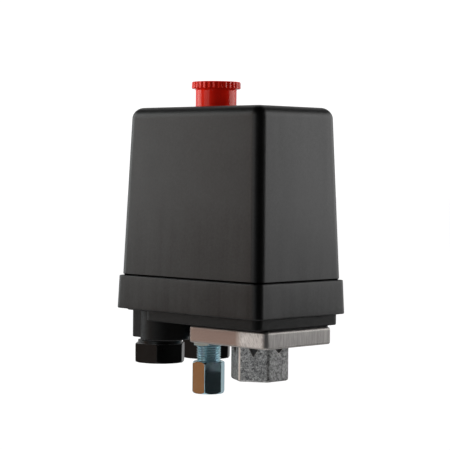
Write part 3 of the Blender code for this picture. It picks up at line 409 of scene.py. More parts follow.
class Shader(Nodes):
    """A material made of one Principled BSDF and procedural textures."""

    def __init__(self, name):
        self.material = bpy.data.materials.new(name)
        self.material.use_nodes = True
        super().__init__(self.material.node_tree, "Object")
        self.out = self.node("ShaderNodeOutputMaterial")
        self.bsdf = self.node("ShaderNodeBsdfPrincipled")
        self.put(self.out.inputs[0], self.bsdf.outputs[0])

    def set(self, **values):
        for key, value in values.items():
            self.put(self.bsdf.inputs[key.replace("_", " ")], value)

    def stretched(self, scale, turn=(0.0, 0.0, 0.0)):
        """Coordinates turned first and then scaled, for streaks in any direction."""
        place = self.place
        for setting, value in (("Rotation", turn), ("Scale", scale)):
            mapping = self.node("ShaderNodeMapping")
            self.put(mapping.inputs["Vector"], place)
            mapping.inputs[setting].default_value = value
            place = mapping.outputs[0]
        return place

    def noise(self, scale, detail, rough, vector=None, distortion=0.0):
        made = self.node("ShaderNodeTexNoise")
        self.put(made.inputs["Vector"], vector or self.place)
        made.inputs["Scale"].default_value = scale
        made.inputs["Detail"].default_value = detail
        made.inputs["Roughness"].default_value = rough
        made.inputs["Distortion"].default_value = distortion
        return made.outputs["Fac"]

    def streaks(self, scale, detail, rough, turn=(0.0, 0.0, 0.0)):
        return self.noise(1.0, detail, rough, self.stretched(scale, turn))

    def cell_borders(self, scale):
        made = self.node("ShaderNodeTexVoronoi", feature="DISTANCE_TO_EDGE")
        self.put(made.inputs["Vector"], self.place)
        made.inputs["Scale"].default_value = scale
        return made.outputs["Distance"]

    def mix(self, factor, first, second):
        made = self.node("ShaderNodeMix", data_type="RGBA")
        self.put(made.inputs[0], factor)
        self.put(made.inputs[6], first)
        self.put(made.inputs[7], second)
        return made.outputs[2]

    def normal(self):
        return self.node("ShaderNodeNewGeometry").outputs["Normal"]

    def facing(self, direction):
        """How far the true surface faces a direction, -1 to 1."""
        return self.dot(self.normal(), Vector(direction).normalized())

    def soft_edges(self, width):
        bevel = self.node("ShaderNodeBevel", samples=6)
        bevel.inputs["Radius"].default_value = width
        return bevel.outputs[0]

    def edges(self, width):
        """1 near convex and concave edges, 0 on the flats."""
        bend = self.math("SUBTRACT", 1.0, self.dot(self.soft_edges(width), self.normal()))
        return self.ramp(bend, 0.005, 0.035)

    def bump(self, height, strength, distance, base=None):
        made = self.node("ShaderNodeBump")
        self.put(made.inputs["Height"], height)
        made.inputs["Strength"].default_value = strength
        made.inputs["Distance"].default_value = distance
        if base is not None:
            self.put(made.inputs["Normal"], base)
        return made.outputs[0]


# ------------------------------------------------ materials
def cover_plastic():
    """Satin black moulding with a fine grain and faint upright drag marks.

    It shines less towards the skirt, and not at all inside the groove above the ledge, where the
    missing shine is painted shade.
    """
    s = Shader("satin_black_cover")
    grain = s.noise(4200.0, 3.0, 0.7)
    cloud = s.noise(38.0, 4.0, 0.6)
    streak = s.streaks((170.0, 170.0, 9.0), 3.0, 0.5)
    rough = s.math("ADD", s.ramp(cloud, 0.3, 0.7, 0.36, 0.44),
                   s.ramp(streak, 0.3, 0.7, -0.02, 0.03))
    colour = s.mix(s.ramp(cloud, 0.35, 0.7), (0.0016, 0.0016, 0.0016), (0.0026, 0.0025, 0.0023))
    colour = s.mix(s.math("MULTIPLY", s.edges(0.0005), 0.3), colour, (0.020, 0.020, 0.019))
    fade = s.ramp(s.axis("Z"), SKIRT_Z, COVER_TOP - 0.04, 0.40, 0.50)
    shine = s.math("ADD", fade, s.ramp(s.noise(900.0, 4.0, 0.75), 0.3, 0.7, -0.05, 0.05))
    shine = s.math("ADD", shine, s.ramp(cloud, 0.3, 0.7, -0.05, 0.05))
    low_down = s.ramp(s.axis("Z"), COVER_TOP - 0.03, LEDGE_Z, 0.0, 0.12)
    drawn = s.math("MULTIPLY", s.ramp(streak, 0.35, 0.65, -0.5, 0.5), low_down)
    shine = s.math("ADD", shine, drawn)
    # Painted shade: no shine inside the groove above the ledge, so it shows black.
    lit = s.math("MAXIMUM", s.ramp(s.axis("Z"), LEDGE_Z - 0.0001, LEDGE_Z + 0.0001, 1.0, 0.0),
                 s.ramp(s.axis("Z"), LEDGE_Z + 0.0006, LEDGE_Z + 0.0009))
    shine = s.math("MULTIPLY", shine, lit)
    s.set(Base_Color=colour, Roughness=rough, IOR=1.52, Specular_IOR_Level=shine)
    s.put(s.bsdf.inputs["Normal"], s.bump(grain, 0.30, 0.00006, s.bump(streak, 0.06, 0.0004)))
    return s.material


def base_plastic():
    """Duller black moulding, scuffed along its edges."""
    s = Shader("dull_black_base")
    grain = s.noise(2600.0, 4.0, 0.7)
    cloud = s.noise(120.0, 5.0, 0.65)
    scuff = s.streaks((300.0, 300.0, 1400.0), 4.0, 0.6)
    colour = s.mix(s.ramp(cloud, 0.35, 0.7), (0.0018, 0.0018, 0.0019), (0.0042, 0.0041, 0.0040))
    colour = s.mix(s.math("MULTIPLY", s.edges(0.0006), 0.4), colour, (0.030, 0.030, 0.029))
    s.set(Base_Color=colour, Roughness=s.ramp(scuff, 0.3, 0.7, 0.42, 0.60), IOR=1.36)
    s.put(s.bsdf.inputs["Normal"], s.bump(grain, 0.35, 0.0001, s.bump(cloud, 0.2, 0.0006)))
    return s.material


def gland_plastic():
    """Black nylon, shinier than the other mouldings."""
    s = Shader("gland_nylon")
    cloud = s.noise(160.0, 4.0, 0.6)
    grain = s.noise(3000.0, 3.0, 0.6)
    colour = s.mix(s.ramp(cloud, 0.4, 0.65), (0.0012, 0.0012, 0.0013), (0.0028, 0.0028, 0.0027))
    colour = s.mix(s.math("MULTIPLY", s.edges(0.0004), 0.3), colour, (0.020, 0.020, 0.020))
    s.set(Base_Color=colour, Roughness=s.ramp(cloud, 0.3, 0.7, 0.26, 0.36), IOR=1.40)
    s.put(s.bsdf.inputs["Normal"], s.bump(grain, 0.12, 0.00006, s.soft_edges(0.0002)))
    return s.material


def red_plastic():
    """Glossy red, darker in the roots of the flutes, with a faint painted glow on the side
    towards the left lights and on its top.
    """
    s = Shader("glossy_red_knob")
    cloud = s.noise(220.0, 3.0, 0.5)
    grain = s.noise(2400.0, 2.0, 0.5)
    # Darker in patches along the edges and in the roots of the flutes.
    patchy_edge_darkening = s.math("MULTIPLY", s.edges(0.0004), s.ramp(grain, 0.35, 0.65))
    colour = s.mix(s.ramp(cloud, 0.35, 0.65), (0.90, 0.009, 0.003), (0.99, 0.014, 0.004))
    colour = s.mix(s.math("MULTIPLY", patchy_edge_darkening, 0.1), colour, (0.45, 0.004, 0.002))
    # Painted light: the knob glows red on the side towards the left lights and on its top.
    painted_glow = s.ramp(s.facing((-0.71, -0.70, 0.0)), 0.0, 1.0, 0.06, 0.30)
    painted_glow = s.math("MAXIMUM", painted_glow, s.ramp(s.facing((0.0, 0.0, 1.0)), 0.2, 0.9, 0.06, 0.42))
    s.set(Base_Color=colour, Roughness=s.ramp(cloud, 0.3, 0.7, 0.15, 0.20), IOR=1.40,
          Specular_Tint=(1.0, 0.93, 0.82),
          Emission_Color=(1.0, 0.026, 0.010), Emission_Strength=painted_glow)
    s.put(s.bsdf.inputs["Normal"], s.bump(cloud, 0.05, 0.00010, s.soft_edges(0.00012)))
    return s.material


def boss_reach(s):
    """Distance of a point from the boss axis, square to the boss face nearest to it."""
    reach = 0.0
    for number in range(3):
        angle = math.pi / 3 * number
        along = s.dot(s.place, (math.cos(angle), math.sin(angle), 0.0))
        offset = s.math("SUBTRACT", along, PORT_X * math.cos(angle))
        reach = s.math("MAXIMUM", s.math("ABSOLUTE", offset), reach)
    return reach


def cast_zinc():
    """Zinc die casting: a smooth plate with a painted warm reflection on its face towards -Y and
    a ground zone, and a mottled speckled boss.

    The boss has painted shade on the faces beside its front one and inside its marks.
    """
    s = Shader("cast_zinc")
    mottled = s.noise(800.0, 6.0, 0.7, distortion=0.4)
    fine = s.noise(1900.0, 5.0, 0.75)
    shade = s.math("ADD", s.math("MULTIPLY", mottled, 0.55), s.math("MULTIPLY", fine, 0.45))
    boss = s.mix(s.ramp(shade, 0.42, 0.60), (0.13, 0.13, 0.135), (0.95, 0.95, 0.94))
    crackle = s.ramp(s.cell_borders(1300.0), 0.05, 0.0)
    speck = s.math("MULTIPLY", crackle, s.ramp(s.noise(700.0, 4.0, 0.7), 0.48, 0.58))
    boss = s.mix(speck, boss, (1.0, 1.0, 0.98))
    # Painted shade: the faces beside the boss's front face are darkened.
    boss = s.mix(s.ramp(s.facing((0.5, -0.87, 0)), 0.97, 0.6, 0.0, 0.46), boss,
                 (0.05, 0.05, 0.05))
    # Painted shade inside the V-notches on the boss faces.
    recess = s.math("MULTIPLY", s.ramp(boss_reach(s), BOSS_FLATS / 2 - 0.0002,
                                       BOSS_FLATS / 2 - 0.0006),
                    s.ramp(s.axis("Z"), PLATE_Z - 0.0058, PLATE_Z - 0.0054))
    boss = s.mix(recess, boss, (0.10, 0.10, 0.10))
    brushed = s.streaks((1500.0, 1500.0, 160.0), 3.0, 0.6)
    smooth_grey = s.mix(s.ramp(brushed, 0.35, 0.65), (0.34, 0.325, 0.315), (0.47, 0.45, 0.435))
    # Painted reflection: the plate's face towards -Y is tinted warm.
    painted_warm_reflection = s.mix(s.ramp(fine, 0.35, 0.65), (0.34, 0.245, 0.21), (0.46, 0.35, 0.305))
    front = s.ramp(s.facing((0, -1, 0)), 0.75, 0.97)
    plate = s.mix(front, smooth_grey, painted_warm_reflection)
    strokes = s.streaks((3200.0, 900.0, 420.0), 2.0, 0.6, (0.0, math.radians(32.0), 0.0))
    along = s.axis("X")
    ground = s.math("MULTIPLY", s.ramp(along, PORT_X + 0.0055, PORT_X + 0.0095),
                    s.ramp(along, PORT_X + 0.0232, PORT_X + 0.0205))
    ground = s.math("MULTIPLY", ground, front)
    bright = s.mix(s.ramp(strokes, 0.35, 0.65), (0.62, 0.60, 0.58), (1.0, 0.98, 0.95))
    plate = s.mix(ground, plate, bright)
    on_plate = s.ramp(s.axis("Z"), PLATE_Z - 0.0003, PLATE_Z + 0.0002)
    colour = s.mix(on_plate, boss, plate)
    # Painted highlight and reflection: a pale colour on the boss's edges and its corner towards
    # -Y, and along the plate's rims.
    painted_corner_highlight = s.ramp(s.facing((0, -1, 0)), 0.92, 0.99, 0.0, 0.9)
    boss_painted_highlight = s.math("MAXIMUM", s.math("MULTIPLY", s.edges(0.0006), 0.3), painted_corner_highlight)
    plate_painted_reflection = s.math("MULTIPLY", s.edges(0.0011), 0.85)
    painted_rim_light = s.math("ADD", s.math("MULTIPLY", plate_painted_reflection, on_plate),
                 s.math("MULTIPLY", boss_painted_highlight, s.math("SUBTRACT", 1.0, on_plate)))
    colour = s.mix(painted_rim_light, colour, (0.95, 0.89, 0.84))
    rough = s.math("ADD", s.ramp(fine, 0.3, 0.7, 0.38, 0.54),
                   s.math("MULTIPLY", on_plate, 0.08))
    s.set(Base_Color=colour, Roughness=rough, Metallic=0.92)
    relief = s.math("MULTIPLY", mottled, s.ramp(on_plate, 0.0, 1.0, 1.0, 0.25))
    bumps = s.bump(fine, 0.30, 0.0002, s.bump(relief, 0.35, 0.0004, s.soft_edges(0.0003)))
    s.put(s.bsdf.inputs["Normal"], bumps)
    return s.material


def blue_zinc(name, rough):
    """Bright steel under a thin blue passivated zinc plate, with fine turning marks.

    Painted reflections tint it tan on the faces towards -Y and teal on the faces towards +X.
    """
    s = Shader(name)
    cloud = s.noise(420.0, 4.0, 0.6)
    turned = s.streaks((500.0, 500.0, 5200.0), 3.0, 0.6)
    colour = s.mix(s.ramp(cloud, 0.3, 0.7), (0.36, 0.56, 0.62), (0.50, 0.70, 0.76))
    violet = s.math("MULTIPLY", s.ramp(s.noise(240.0, 2.0, 0.5), 0.5, 0.7), 0.4)
    colour = s.mix(violet, colour, (0.50, 0.55, 0.74))
    colour = s.mix(s.math("MULTIPLY", s.edges(0.0003), 0.4), colour, (0.70, 0.86, 0.90))
    # Painted reflections: tan on the faces towards -Y, teal on the faces towards +X.
    tan = s.ramp(s.facing((0.035, -1.0, 0.0)), 0.90, 0.98, 0.0, 0.6)
    colour = s.mix(tan, colour, (0.64, 0.53, 0.38))
    painted_teal_reflection = s.ramp(s.facing((0.85, 0.53, 0.0)), 0.90, 0.98, 0.0, 0.7)
    colour = s.mix(painted_teal_reflection, colour, (0.20, 0.42, 0.50))
    s.set(Base_Color=colour, Roughness=s.ramp(turned, 0.3, 0.7, rough, rough + 0.08),
          Metallic=0.94)
    s.put(s.bsdf.inputs["Normal"], s.bump(turned, 0.05, 0.00004, s.soft_edges(0.00015)))
    return s.material


def plated_metal(name, tint, rough):
    """Brushed bright metal in the tint given, paler along its edges."""
    s = Shader(name)
    cloud = s.noise(260.0, 4.0, 0.6)
    brush = s.streaks((300.0, 4200.0, 300.0), 3.0, 0.6)
    dark = tuple(c * 0.72 for c in tint)
    colour = s.mix(s.ramp(cloud, 0.35, 0.7), dark, tint)
    colour = s.mix(s.math("MULTIPLY", s.edges(0.0004), 0.4), colour, (0.8, 0.8, 0.8))
    s.set(Base_Color=colour, Roughness=s.ramp(brush, 0.3, 0.7, rough - 0.06, rough + 0.1),
          Metallic=1.0)
    s.put(s.bsdf.inputs["Normal"], s.bump(brush, 0.15, 0.00006))
    return s.material


def moulded(name, dark, light, rough, speckle=0.0):
    """A plain moulded or rubber surface between two tones, with pale specks if asked for."""
    s = Shader(name)
    cloud = s.noise(180.0, 5.0, 0.6)
    grain = s.noise(2400.0, 3.0, 0.7)
    colour = s.mix(s.ramp(cloud, 0.3, 0.7), dark, light)
    if speckle:
        spots = s.ramp(s.noise(900.0, 2.0, 0.5), 0.6, 0.7)
        colour = s.mix(s.math("MULTIPLY", spots, speckle), colour,
                       tuple(min(1.0, c * 2.4) for c in light))
    s.set(Base_Color=colour, Roughness=s.ramp(grain, 0.3, 0.7, rough - 0.06, rough + 0.08))
    s.put(s.bsdf.inputs["Normal"], s.bump(grain, 0.2, 0.00008))
    return s.material


MATERIALS = {
    "cover_plastic": cover_plastic(),
    "base_plastic": base_plastic(),
    "gland_plastic": gland_plastic(),
    "red_plastic": red_plastic(),
    "block_plastic": moulded("phenolic_block", (0.055, 0.024, 0.012), (0.11, 0.05, 0.026),
                             0.45, 0.35),
    "white_plastic": moulded("white_acetal", (0.62, 0.61, 0.57), (0.74, 0.73, 0.69), 0.4),
    "die_cast_zinc": cast_zinc(),
    "blue_zinc_plate": blue_zinc("blue_zinc_plate", 0.12),
    "blue_zinc_thread": blue_zinc("blue_zinc_thread", 0.30),
    "steel": plated_metal("plated_steel", (0.55, 0.56, 0.58), 0.28),
    "brass": plated_metal("brass", (0.72, 0.50, 0.20), 0.26),
    "rubber": moulded("nitrile_rubber", (0.010, 0.010, 0.010), (0.020, 0.020, 0.019), 0.7),
}


def dress(piece, slot):
    piece.data.materials.clear()
    piece.data.materials.append(MATERIALS[slot])
    return piece


# ------------------------------------------------ cover
def cover_outline(inset, corner, belly=0.0):
    return outline(COVER_HIGH.x - inset, COVER_HIGH.y - inset, corner, belly, 16, 10)


def cover_layers():
    """(points, z) layers of the cover's outside: skirt, ledge, groove, walls, round top."""
    layers = []

    def layer(z, inset, corner, belly=0.0):
        layers.append((cover_outline(inset, corner, belly), z))

    for step in range(4):
        angle = math.pi / 2 * step / 3
        layer(SKIRT_Z + 0.0004 * (1 - math.sin(angle)), 0.0004 * (1 - math.cos(angle)),
              SKIRT_CORNER)
    layers.reverse()
    for step in range(1, 7):
        rise = (SKIRT_HEIGHT - 0.0009) * step / 6
        layer(SKIRT_Z + 0.0004 + rise, (rise + 0.0004) * DRAFT, SKIRT_CORNER,
              0.00010 * math.sin(math.pi * step / 7))
    for step in range(1, 4):
        angle = math.pi / 2 * step / 3
        layer(LEDGE_Z - 0.0005 + 0.0005 * math.sin(angle),
              SKIRT_LEAN + 0.0005 * (1 - math.cos(angle)), SKIRT_CORNER - 0.0002)
    layer(LEDGE_Z - 0.00005, WALL_INSET + GROOVE, COVER_CORNER - GROOVE)
    layer(LEDGE_Z + 0.00045, WALL_INSET + GROOVE, COVER_CORNER - GROOVE)
    layer(LEDGE_Z + 0.00070, WALL_INSET + 0.0007 * DRAFT, COVER_CORNER)
    start = COVER_TOP - COVER_EDGE
    span = start - LEDGE_Z
    for step in range(1, 25):
        share = step / 24
        layer(LEDGE_Z + span * share, WALL_INSET + span * share * DRAFT, COVER_CORNER,
              0.00018 * math.sin(math.pi * share))
    for step in range(1, 13):
        angle = math.pi / 2 * step / 12
        inset = COVER_EDGE * (1 - math.cos(angle))
        layer(start + COVER_EDGE * math.sin(angle), TOP_INSET + inset,
              max(COVER_CORNER - 0.75 * inset, 0.0012))
    layer(COVER_TOP, TOP_INSET + COVER_EDGE + 0.0015, 0.0012)
    return layers


def cover_walls():
    """The shell without its openings."""
    bm = bmesh.new()
    outer = [ring(bm, points, z) for points, z in cover_layers()]
    inner = []
    for z, inset, corner in ((SKIRT_Z, COVER_WALL, SKIRT_CORNER - 0.0012),
                             (LEDGE_Z, WALL_INSET + COVER_WALL, 0.0028),
                             (COVER_TOP - COVER_EDGE, TOP_INSET + COVER_WALL, 0.0026),
                             (COVER_TOP - COVER_WALL, TOP_INSET + COVER_WALL + 0.003, 0.0012)):
        inner.append(ring(bm, cover_outline(inset, corner), z))
    bridge(bm, outer)
    bridge(bm, inner)
    bridge(bm, [inner[0], outer[0]])
    bm.faces.new(outer[-1])
    bm.faces.new(inner[-1])
    return to_mesh("cover_shell", bm, 28.0)


def cover_mesh():
    """The shell with the knob's hole and the recess and hole of its screw."""
    knob_hole = KNOB_RADIUS + 0.0004
    hole = [(0, COVER_TOP - 0.006), (knob_hole, COVER_TOP - 0.006)]
    hole += arc(knob_hole + 0.0005, COVER_TOP - 0.0005, 0.0005, 180, 90, 4)
    hole += [(knob_hole + 0.0006, COVER_TOP + 0.002), (0, COVER_TOP + 0.002)]
    floor = COVER_TOP - SCREW_RECESS_DEPTH
    well = plug(SCREW_RECESS + 0.0014, floor - 0.0016, COVER_TOP - 0.0010)
    recess = [(0, floor), (SCREW_RECESS - 0.0003, floor), (SCREW_RECESS, floor + 0.0003)]
    recess += arc(SCREW_RECESS + 0.0004, COVER_TOP - 0.0004, 0.0004, 180, 90, 4)
    recess += [(SCREW_RECESS + 0.0005, COVER_TOP + 0.002), (0, COVER_TOP + 0.002)]
    through = plug(SCREW_HOLE, floor - 0.004, floor + 0.001)
    at = (POST_X, 0.0)
    return combine(cover_walls(), [
        ("DIFFERENCE", lathe("knob_hole", hole, (KNOB_X, 0.0), 96)),
        ("UNION", lathe("well", well, at, 48)),
        ("DIFFERENCE", lathe("recess", recess, at, 48)),
        ("DIFFERENCE", lathe("through", through, at, 24)),
    ], 28.0)


# ------------------------------------------------ knob
def knob_mesh():
    """A turned cap whose rim is fluted, hollow below like the CAD piece."""
    bm = bmesh.new()
    rim_z = KNOB_HIGH.z - KNOB_RIM_HEIGHT
    per_flute = 12
    steps = KNOB_FLUTES * per_flute
    top = KNOB_HIGH.z
    neck = KNOB_RADIUS
    round_top = arc(KNOB_RIM - 0.0006, top - 0.0006, 0.0006, 75, 20, 3)
    round_low = arc(KNOB_RIM - 0.0004, rim_z + 0.0004, 0.0004, -20, -80, 2)
    # Each point is (radius, height, share of the flutes' depth).
    profile = [(0.0, top - 0.0006, 0), (KNOB_DISH - 0.0012, top - 0.0006, 0),
               (KNOB_DISH - 0.0006, top - 0.0003, 0), (KNOB_DISH, top, 0),
               (KNOB_RIM - 0.0008, top, 0)]
    profile += [(r, z, 0.6) for r, z in round_top]
    profile += [(KNOB_RIM, top - 0.0007, 1), (KNOB_RIM, (top + rim_z) / 2, 1),
                (KNOB_RIM, rim_z + 0.0004, 1)]
    profile += [(r, z, 0.6) for r, z in round_low]
    profile += [(neck + 0.0010, rim_z, 0)]
    profile += [(r, z, 0) for r, z in arc(neck + 0.0009, rim_z - 0.0009, 0.0009, 90, 180, 5)]
    profile += [(neck, COVER_TOP + 0.002, 0), (neck, KNOB_LOW.z + 0.0004, 0),
                (neck - 0.0004, KNOB_LOW.z, 0), (neck - 0.0020, KNOB_LOW.z, 0),
                (neck - 0.0020, COVER_TOP, 0), (SHAFT_HOLE, COVER_TOP, 0),
                (SHAFT_HOLE, rim_z - 0.0040, 0), (0.0, rim_z - 0.0040, 0)]
    rings = []
    for radius, z, fluted in profile:
        line = []
        for i in range(steps if radius else 1):
            angle = 2 * math.pi * i / steps
            wave = 0.5 + 0.5 * math.cos(2 * math.pi * i / per_flute)
            dip = FLUTE_DEPTH * fluted * (1 - wave ** 0.8)
            r = radius - dip
            line.append(bm.verts.new((KNOB_X + r * math.cos(angle), r * math.sin(angle), z)))
        rings.append(line)
    bridge(bm, rings)
    return to_mesh("on_off_knob", bm, 40.0)


# ------------------------------------------------ base
def base_mesh():
    """The moulded tray with its deeper well, gland block and collars."""
    low, high = BASE_LOW, BASE_HIGH
    collar_z = low.z
    well_z = FLANGE_HIGH.z + 0.0008
    tray = soft_block("tray", low.x, high.x, high.y, TRAY_CORNER, RIM_Z, high.z, 0.0005)
    deep = soft_block("deep", GLAND_X + 0.0014, high.x - 0.0001, high.y - 0.0001, TRAY_CORNER,
                      well_z, RIM_Z + 0.002, 0.0005)
    block = soft_block("block", low.x + 0.0001, BLOCK_RIGHT, BLOCK_HALF_WIDTH, 0.0025,
                       collar_z + 0.0007, RIM_Z + 0.002, 0.0005)
    steps = [("UNION", deep), ("UNION", block)]
    offset_x, offset_y = COLLAR_OFFSET
    lip = COLLAR_RADIUS - 0.0005
    for side in (-1, 1):
        collar = [(0, collar_z), (lip, collar_z)]
        collar += arc(lip, collar_z + 0.0005, 0.0005, -90, 0, 4)
        collar += [(COLLAR_RADIUS, RIM_Z + 0.0016), (0, RIM_Z + 0.0016)]
        at = (GLAND_X + offset_x, side * (GLAND_Y - offset_y))
        steps.append(("UNION", lathe("collar", collar, at, 64)))
    rim_floor = RIM_Z + TRAY_FLOOR
    floor = well_z + WELL_FLOOR
    steps += [
        ("DIFFERENCE", soft_block("pocket", low.x + TRAY_WALL, high.x - TRAY_WALL,
                                  high.y - TRAY_WALL, 0.0025, rim_floor, high.z + 0.005,
                                  0.0003)),
        ("DIFFERENCE", soft_block("deep_pocket", GLAND_X + 0.0034, high.x - TRAY_WALL - 0.0001,
                                  high.y - TRAY_WALL - 0.0001, 0.0025, floor, high.z + 0.004,
                                  0.0003)),
    ]
    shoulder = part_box("gland_seal_front")[1].z + 0.0003
    for side in (-1, 1):
        at = (GLAND_X, side * GLAND_Y)
        bore = [(0, shoulder), (GLAND_BORE, shoulder), (GLAND_BORE, collar_z + 0.0006),
                (GLAND_BORE + 0.0006, collar_z - 0.0001),
                (GLAND_BORE + 0.0006, collar_z - 0.003), (0, collar_z - 0.003)]
        bore.reverse()
        entry = plug(CABLE_ENTRY, shoulder - 0.001, rim_floor + 0.004)
        steps += [("DIFFERENCE", lathe("bore", bore, at, 48)),
                  ("DIFFERENCE", lathe("entry", entry, at, 32))]
    stem = plug(STEM_RADIUS + 0.0004, well_z - 0.002, floor + 0.002)
    hole = plug(CHAMBER_RADIUS + 0.0002, well_z - 0.002, floor + 0.002)
    steps += [("DIFFERENCE", lathe("stem", stem, (UNLOADER_X, 0.0), 32)),
              ("DIFFERENCE", lathe("hole", hole, (PORT_X, 0.0), 48))]
    return combine(tray, steps, 30.0)


# ------------------------------------------------ pressure flange
def flange_mesh():
    """The cast plate and its hexagonal boss, with the casting's marks and the thread."""
    low, high = FLANGE_LOW, FLANGE_HIGH
    plate = soft_block("pressure_flange", low.x, high.x, high.y, 0.0024, PLATE_Z, high.z,
                       0.0010, 6, 30.0)
    centre = (PORT_X, 0.0)
    layers = []
    for inset, z in ((0.0007, 0.0), (0.0002, 0.0004), (0.0, 0.0009)):
        layers.append((polygon(6, BOSS_FLATS - 2 * inset, centre, 0.0, BOSS_CORNER), low.z + z))
    layers.append((polygon(6, BOSS_FLATS, centre, 0.0, BOSS_CORNER), PLATE_Z - BOSS_CORNER))
    for grow, z in ((0.0002, -0.0003), (0.0007, 0.0), (0.0007, 0.001)):
        layers.append((polygon(6, BOSS_FLATS + 2 * grow, centre, 0.0, BOSS_CORNER + grow),
                       PLATE_Z + z))
    boss = layered("boss", layers, 30.0)
    mouth = [(0, low.z - 0.001), (PORT_BORE + 0.0010, low.z - 0.001),
             (PORT_BORE + 0.0010, low.z), (PORT_BORE + 0.0001, low.z + 0.0009),
             (PORT_BORE, low.z + 0.0010), (PORT_BORE, low.z + 0.0012), (0, low.z + 0.0012)]
    thread = helix_thread("port_thread", centre, PORT_BORE, 0.0006, 0.00134, low.z + 0.0008,
                          low.z + PORT_DEPTH, 40, inward=True)
    passage = plug(PORT_PASSAGE, low.z + PORT_DEPTH - 0.0005, high.z + 0.002)
    chamber = plug(CHAMBER_RADIUS, high.z - CHAMBER_DEPTH, high.z + 0.002)
    return combine(plate, [
        ("UNION", boss),
        ("DIFFERENCE", lathe("port_mouth", mouth, centre, 64)),
        ("DIFFERENCE", thread),
        ("DIFFERENCE", lathe("passage", passage, centre, 24)),
        ("DIFFERENCE", lathe("chamber", chamber, centre, 64)),
    ] + boss_marks(), 30.0)


def wedge(name, centre, direction, half_width, height):
    """A V-shaped cutter that is deepest at its top and runs out at its lower tip."""
    outward = Vector(direction).normalized()
    side = Vector((0, 0, 1)).cross(outward).normalized()
    top = 0.0002
    bm = bmesh.new()
    rows = []
    for reaches in ((-MARK_DEPTH, -MARK_DEPTH, -0.4 * MARK_DEPTH), (0.002, 0.002, 0.002)):
        corners = ((-half_width, top), (half_width, top), (0.0, top - height))
        rows.append([bm.verts.new(Vector(centre) + side * across + Vector((0, 0, up))
                                  + outward * reach)
                     for (across, up), reach in zip(corners, reaches)])
    bridge(bm, rows)
    cap(bm, rows)
    return to_mesh(name, bm)


def boss_marks():
    """A V-notch at the top of each face of the boss; one is wider and shallower."""
    marks = []
    for number in range(6):
        angle = math.pi / 3 * number
        wide = number == 0
        direction = Vector((math.cos(angle), math.sin(angle), 0))
        centre = Vector((PORT_X, 0, PLATE_Z)) + direction * BOSS_FLATS / 2
        marks.append(("DIFFERENCE", wedge("notch", centre, direction,
                                          0.0046 if wide else 0.0031,
                                          0.0038 if wide else 0.0052)))
    return marks


# ------------------------------------------------ gland nuts
def gland_mesh(name, y):
    """A hexagon nut with a threaded stem above it and a cable hole right through."""
    low, high = GLAND_LOW, GLAND_HIGH
    hex_top = low.z + GLAND_NUT_HEIGHT
    at = (GLAND_X, y)
    body = prism(name, polygon(6, GLAND_FLATS, at, GLAND_TURN, 0.0003), low.z, hex_top)
    corner = GLAND_FLATS / math.sqrt(3)
    outside = [(0, low.z), (corner - 0.0014, low.z)]
    outside += arc(corner - 0.0014, low.z + 0.0012, 0.0012, -90, 0, 6)
    outside += arc(corner - 0.0009, hex_top - 0.0008, 0.0009, 0, 90, 5)
    outside += [(0, hex_top)]
    neck = GLAND_STEM + 0.0018
    stem = [(0, hex_top - 0.0005), (neck, hex_top - 0.0005), (neck, hex_top + 0.0013),
            (GLAND_STEM, hex_top + 0.0014)]
    root = GLAND_STEM - 0.0005
    z = hex_top + 0.0016
    while z < high.z - GLAND_PITCH:
        stem += [(GLAND_STEM, z), (root, z + 0.00045), (root, z + 0.0006),
                 (GLAND_STEM, z + 0.00105)]
        z += GLAND_PITCH
    stem += [(GLAND_STEM, high.z - 0.0004), (GLAND_STEM - 0.0003, high.z), (0, high.z)]
    mouth = CABLE_HOLE + 0.0016
    hole = [(0, low.z - 0.001), (mouth, low.z - 0.001), (mouth, low.z),
            (CABLE_HOLE + 0.0002, low.z + 0.0010), (CABLE_HOLE, low.z + 0.0014),
            (CABLE_HOLE, high.z + 0.001), (0, high.z + 0.001)]
    return combine(body, [
        ("INTERSECT", lathe("outside", outside, at, 72)),
        ("UNION", lathe("stem", stem, at, 48)),
        ("DIFFERENCE", lathe("hole", hole, at, 48)),
    ], 30.0)


# ------------------------------------------------ unloader
def unloader_body_mesh():
    """Hexagon, outside thread below it and stem above it, bored for the tube and valve."""
    at = (UNLOADER_X, 0.0)
    top = FLANGE_HIGH.z + 0.0005
    hex_z = BODY_HEX_Z
    corner = FITTING_FLATS / math.sqrt(3)
    body = prism("unloader_fitting", polygon(6, FITTING_FLATS, at, BODY_TURN, 0.0002), hex_z,
                 top)
    outside = [(0, hex_z), (corner - 0.0010, hex_z), (corner - 0.0003, hex_z + 0.0003),
               (corner, hex_z + 0.0007), (corner, top), (0, top)]
    thread = helix_thread("thread", at, THREAD_RADIUS, 0.00060, 0.00107, BODY_LOW.z + 0.0002,
                          hex_z + 0.0010, 56)
    stem = plug(STEM_RADIUS, top - 0.002, BODY_HIGH.z)
    mouth = TUBE_HOLE + 0.0007
    socket = [(0, BODY_LOW.z - 0.001), (mouth, BODY_LOW.z - 0.001),
              (TUBE_HOLE, BODY_LOW.z + 0.0009), (TUBE_HOLE, TUBE_SOCKET_TOP),
              (0, TUBE_SOCKET_TOP)]
    orifice = plug(0.0010, TUBE_SOCKET_TOP - 0.0010, VALVE_BORE_Z + 0.0023)
    bore = plug(TUBE_HOLE, VALVE_BORE_Z, BODY_HIGH.z + 0.001)
    return combine(body, [
        ("INTERSECT", lathe("outside", outside, at, 72)),
        ("UNION", thread),
        ("UNION", lathe("stem", stem, at, 40)),
        ("DIFFERENCE", lathe("socket", socket, at, 40)),
        ("DIFFERENCE", lathe("orifice", orifice, at, 16)),
        ("DIFFERENCE", lathe("bore", bore, at, 32)),
    ], 34.0)


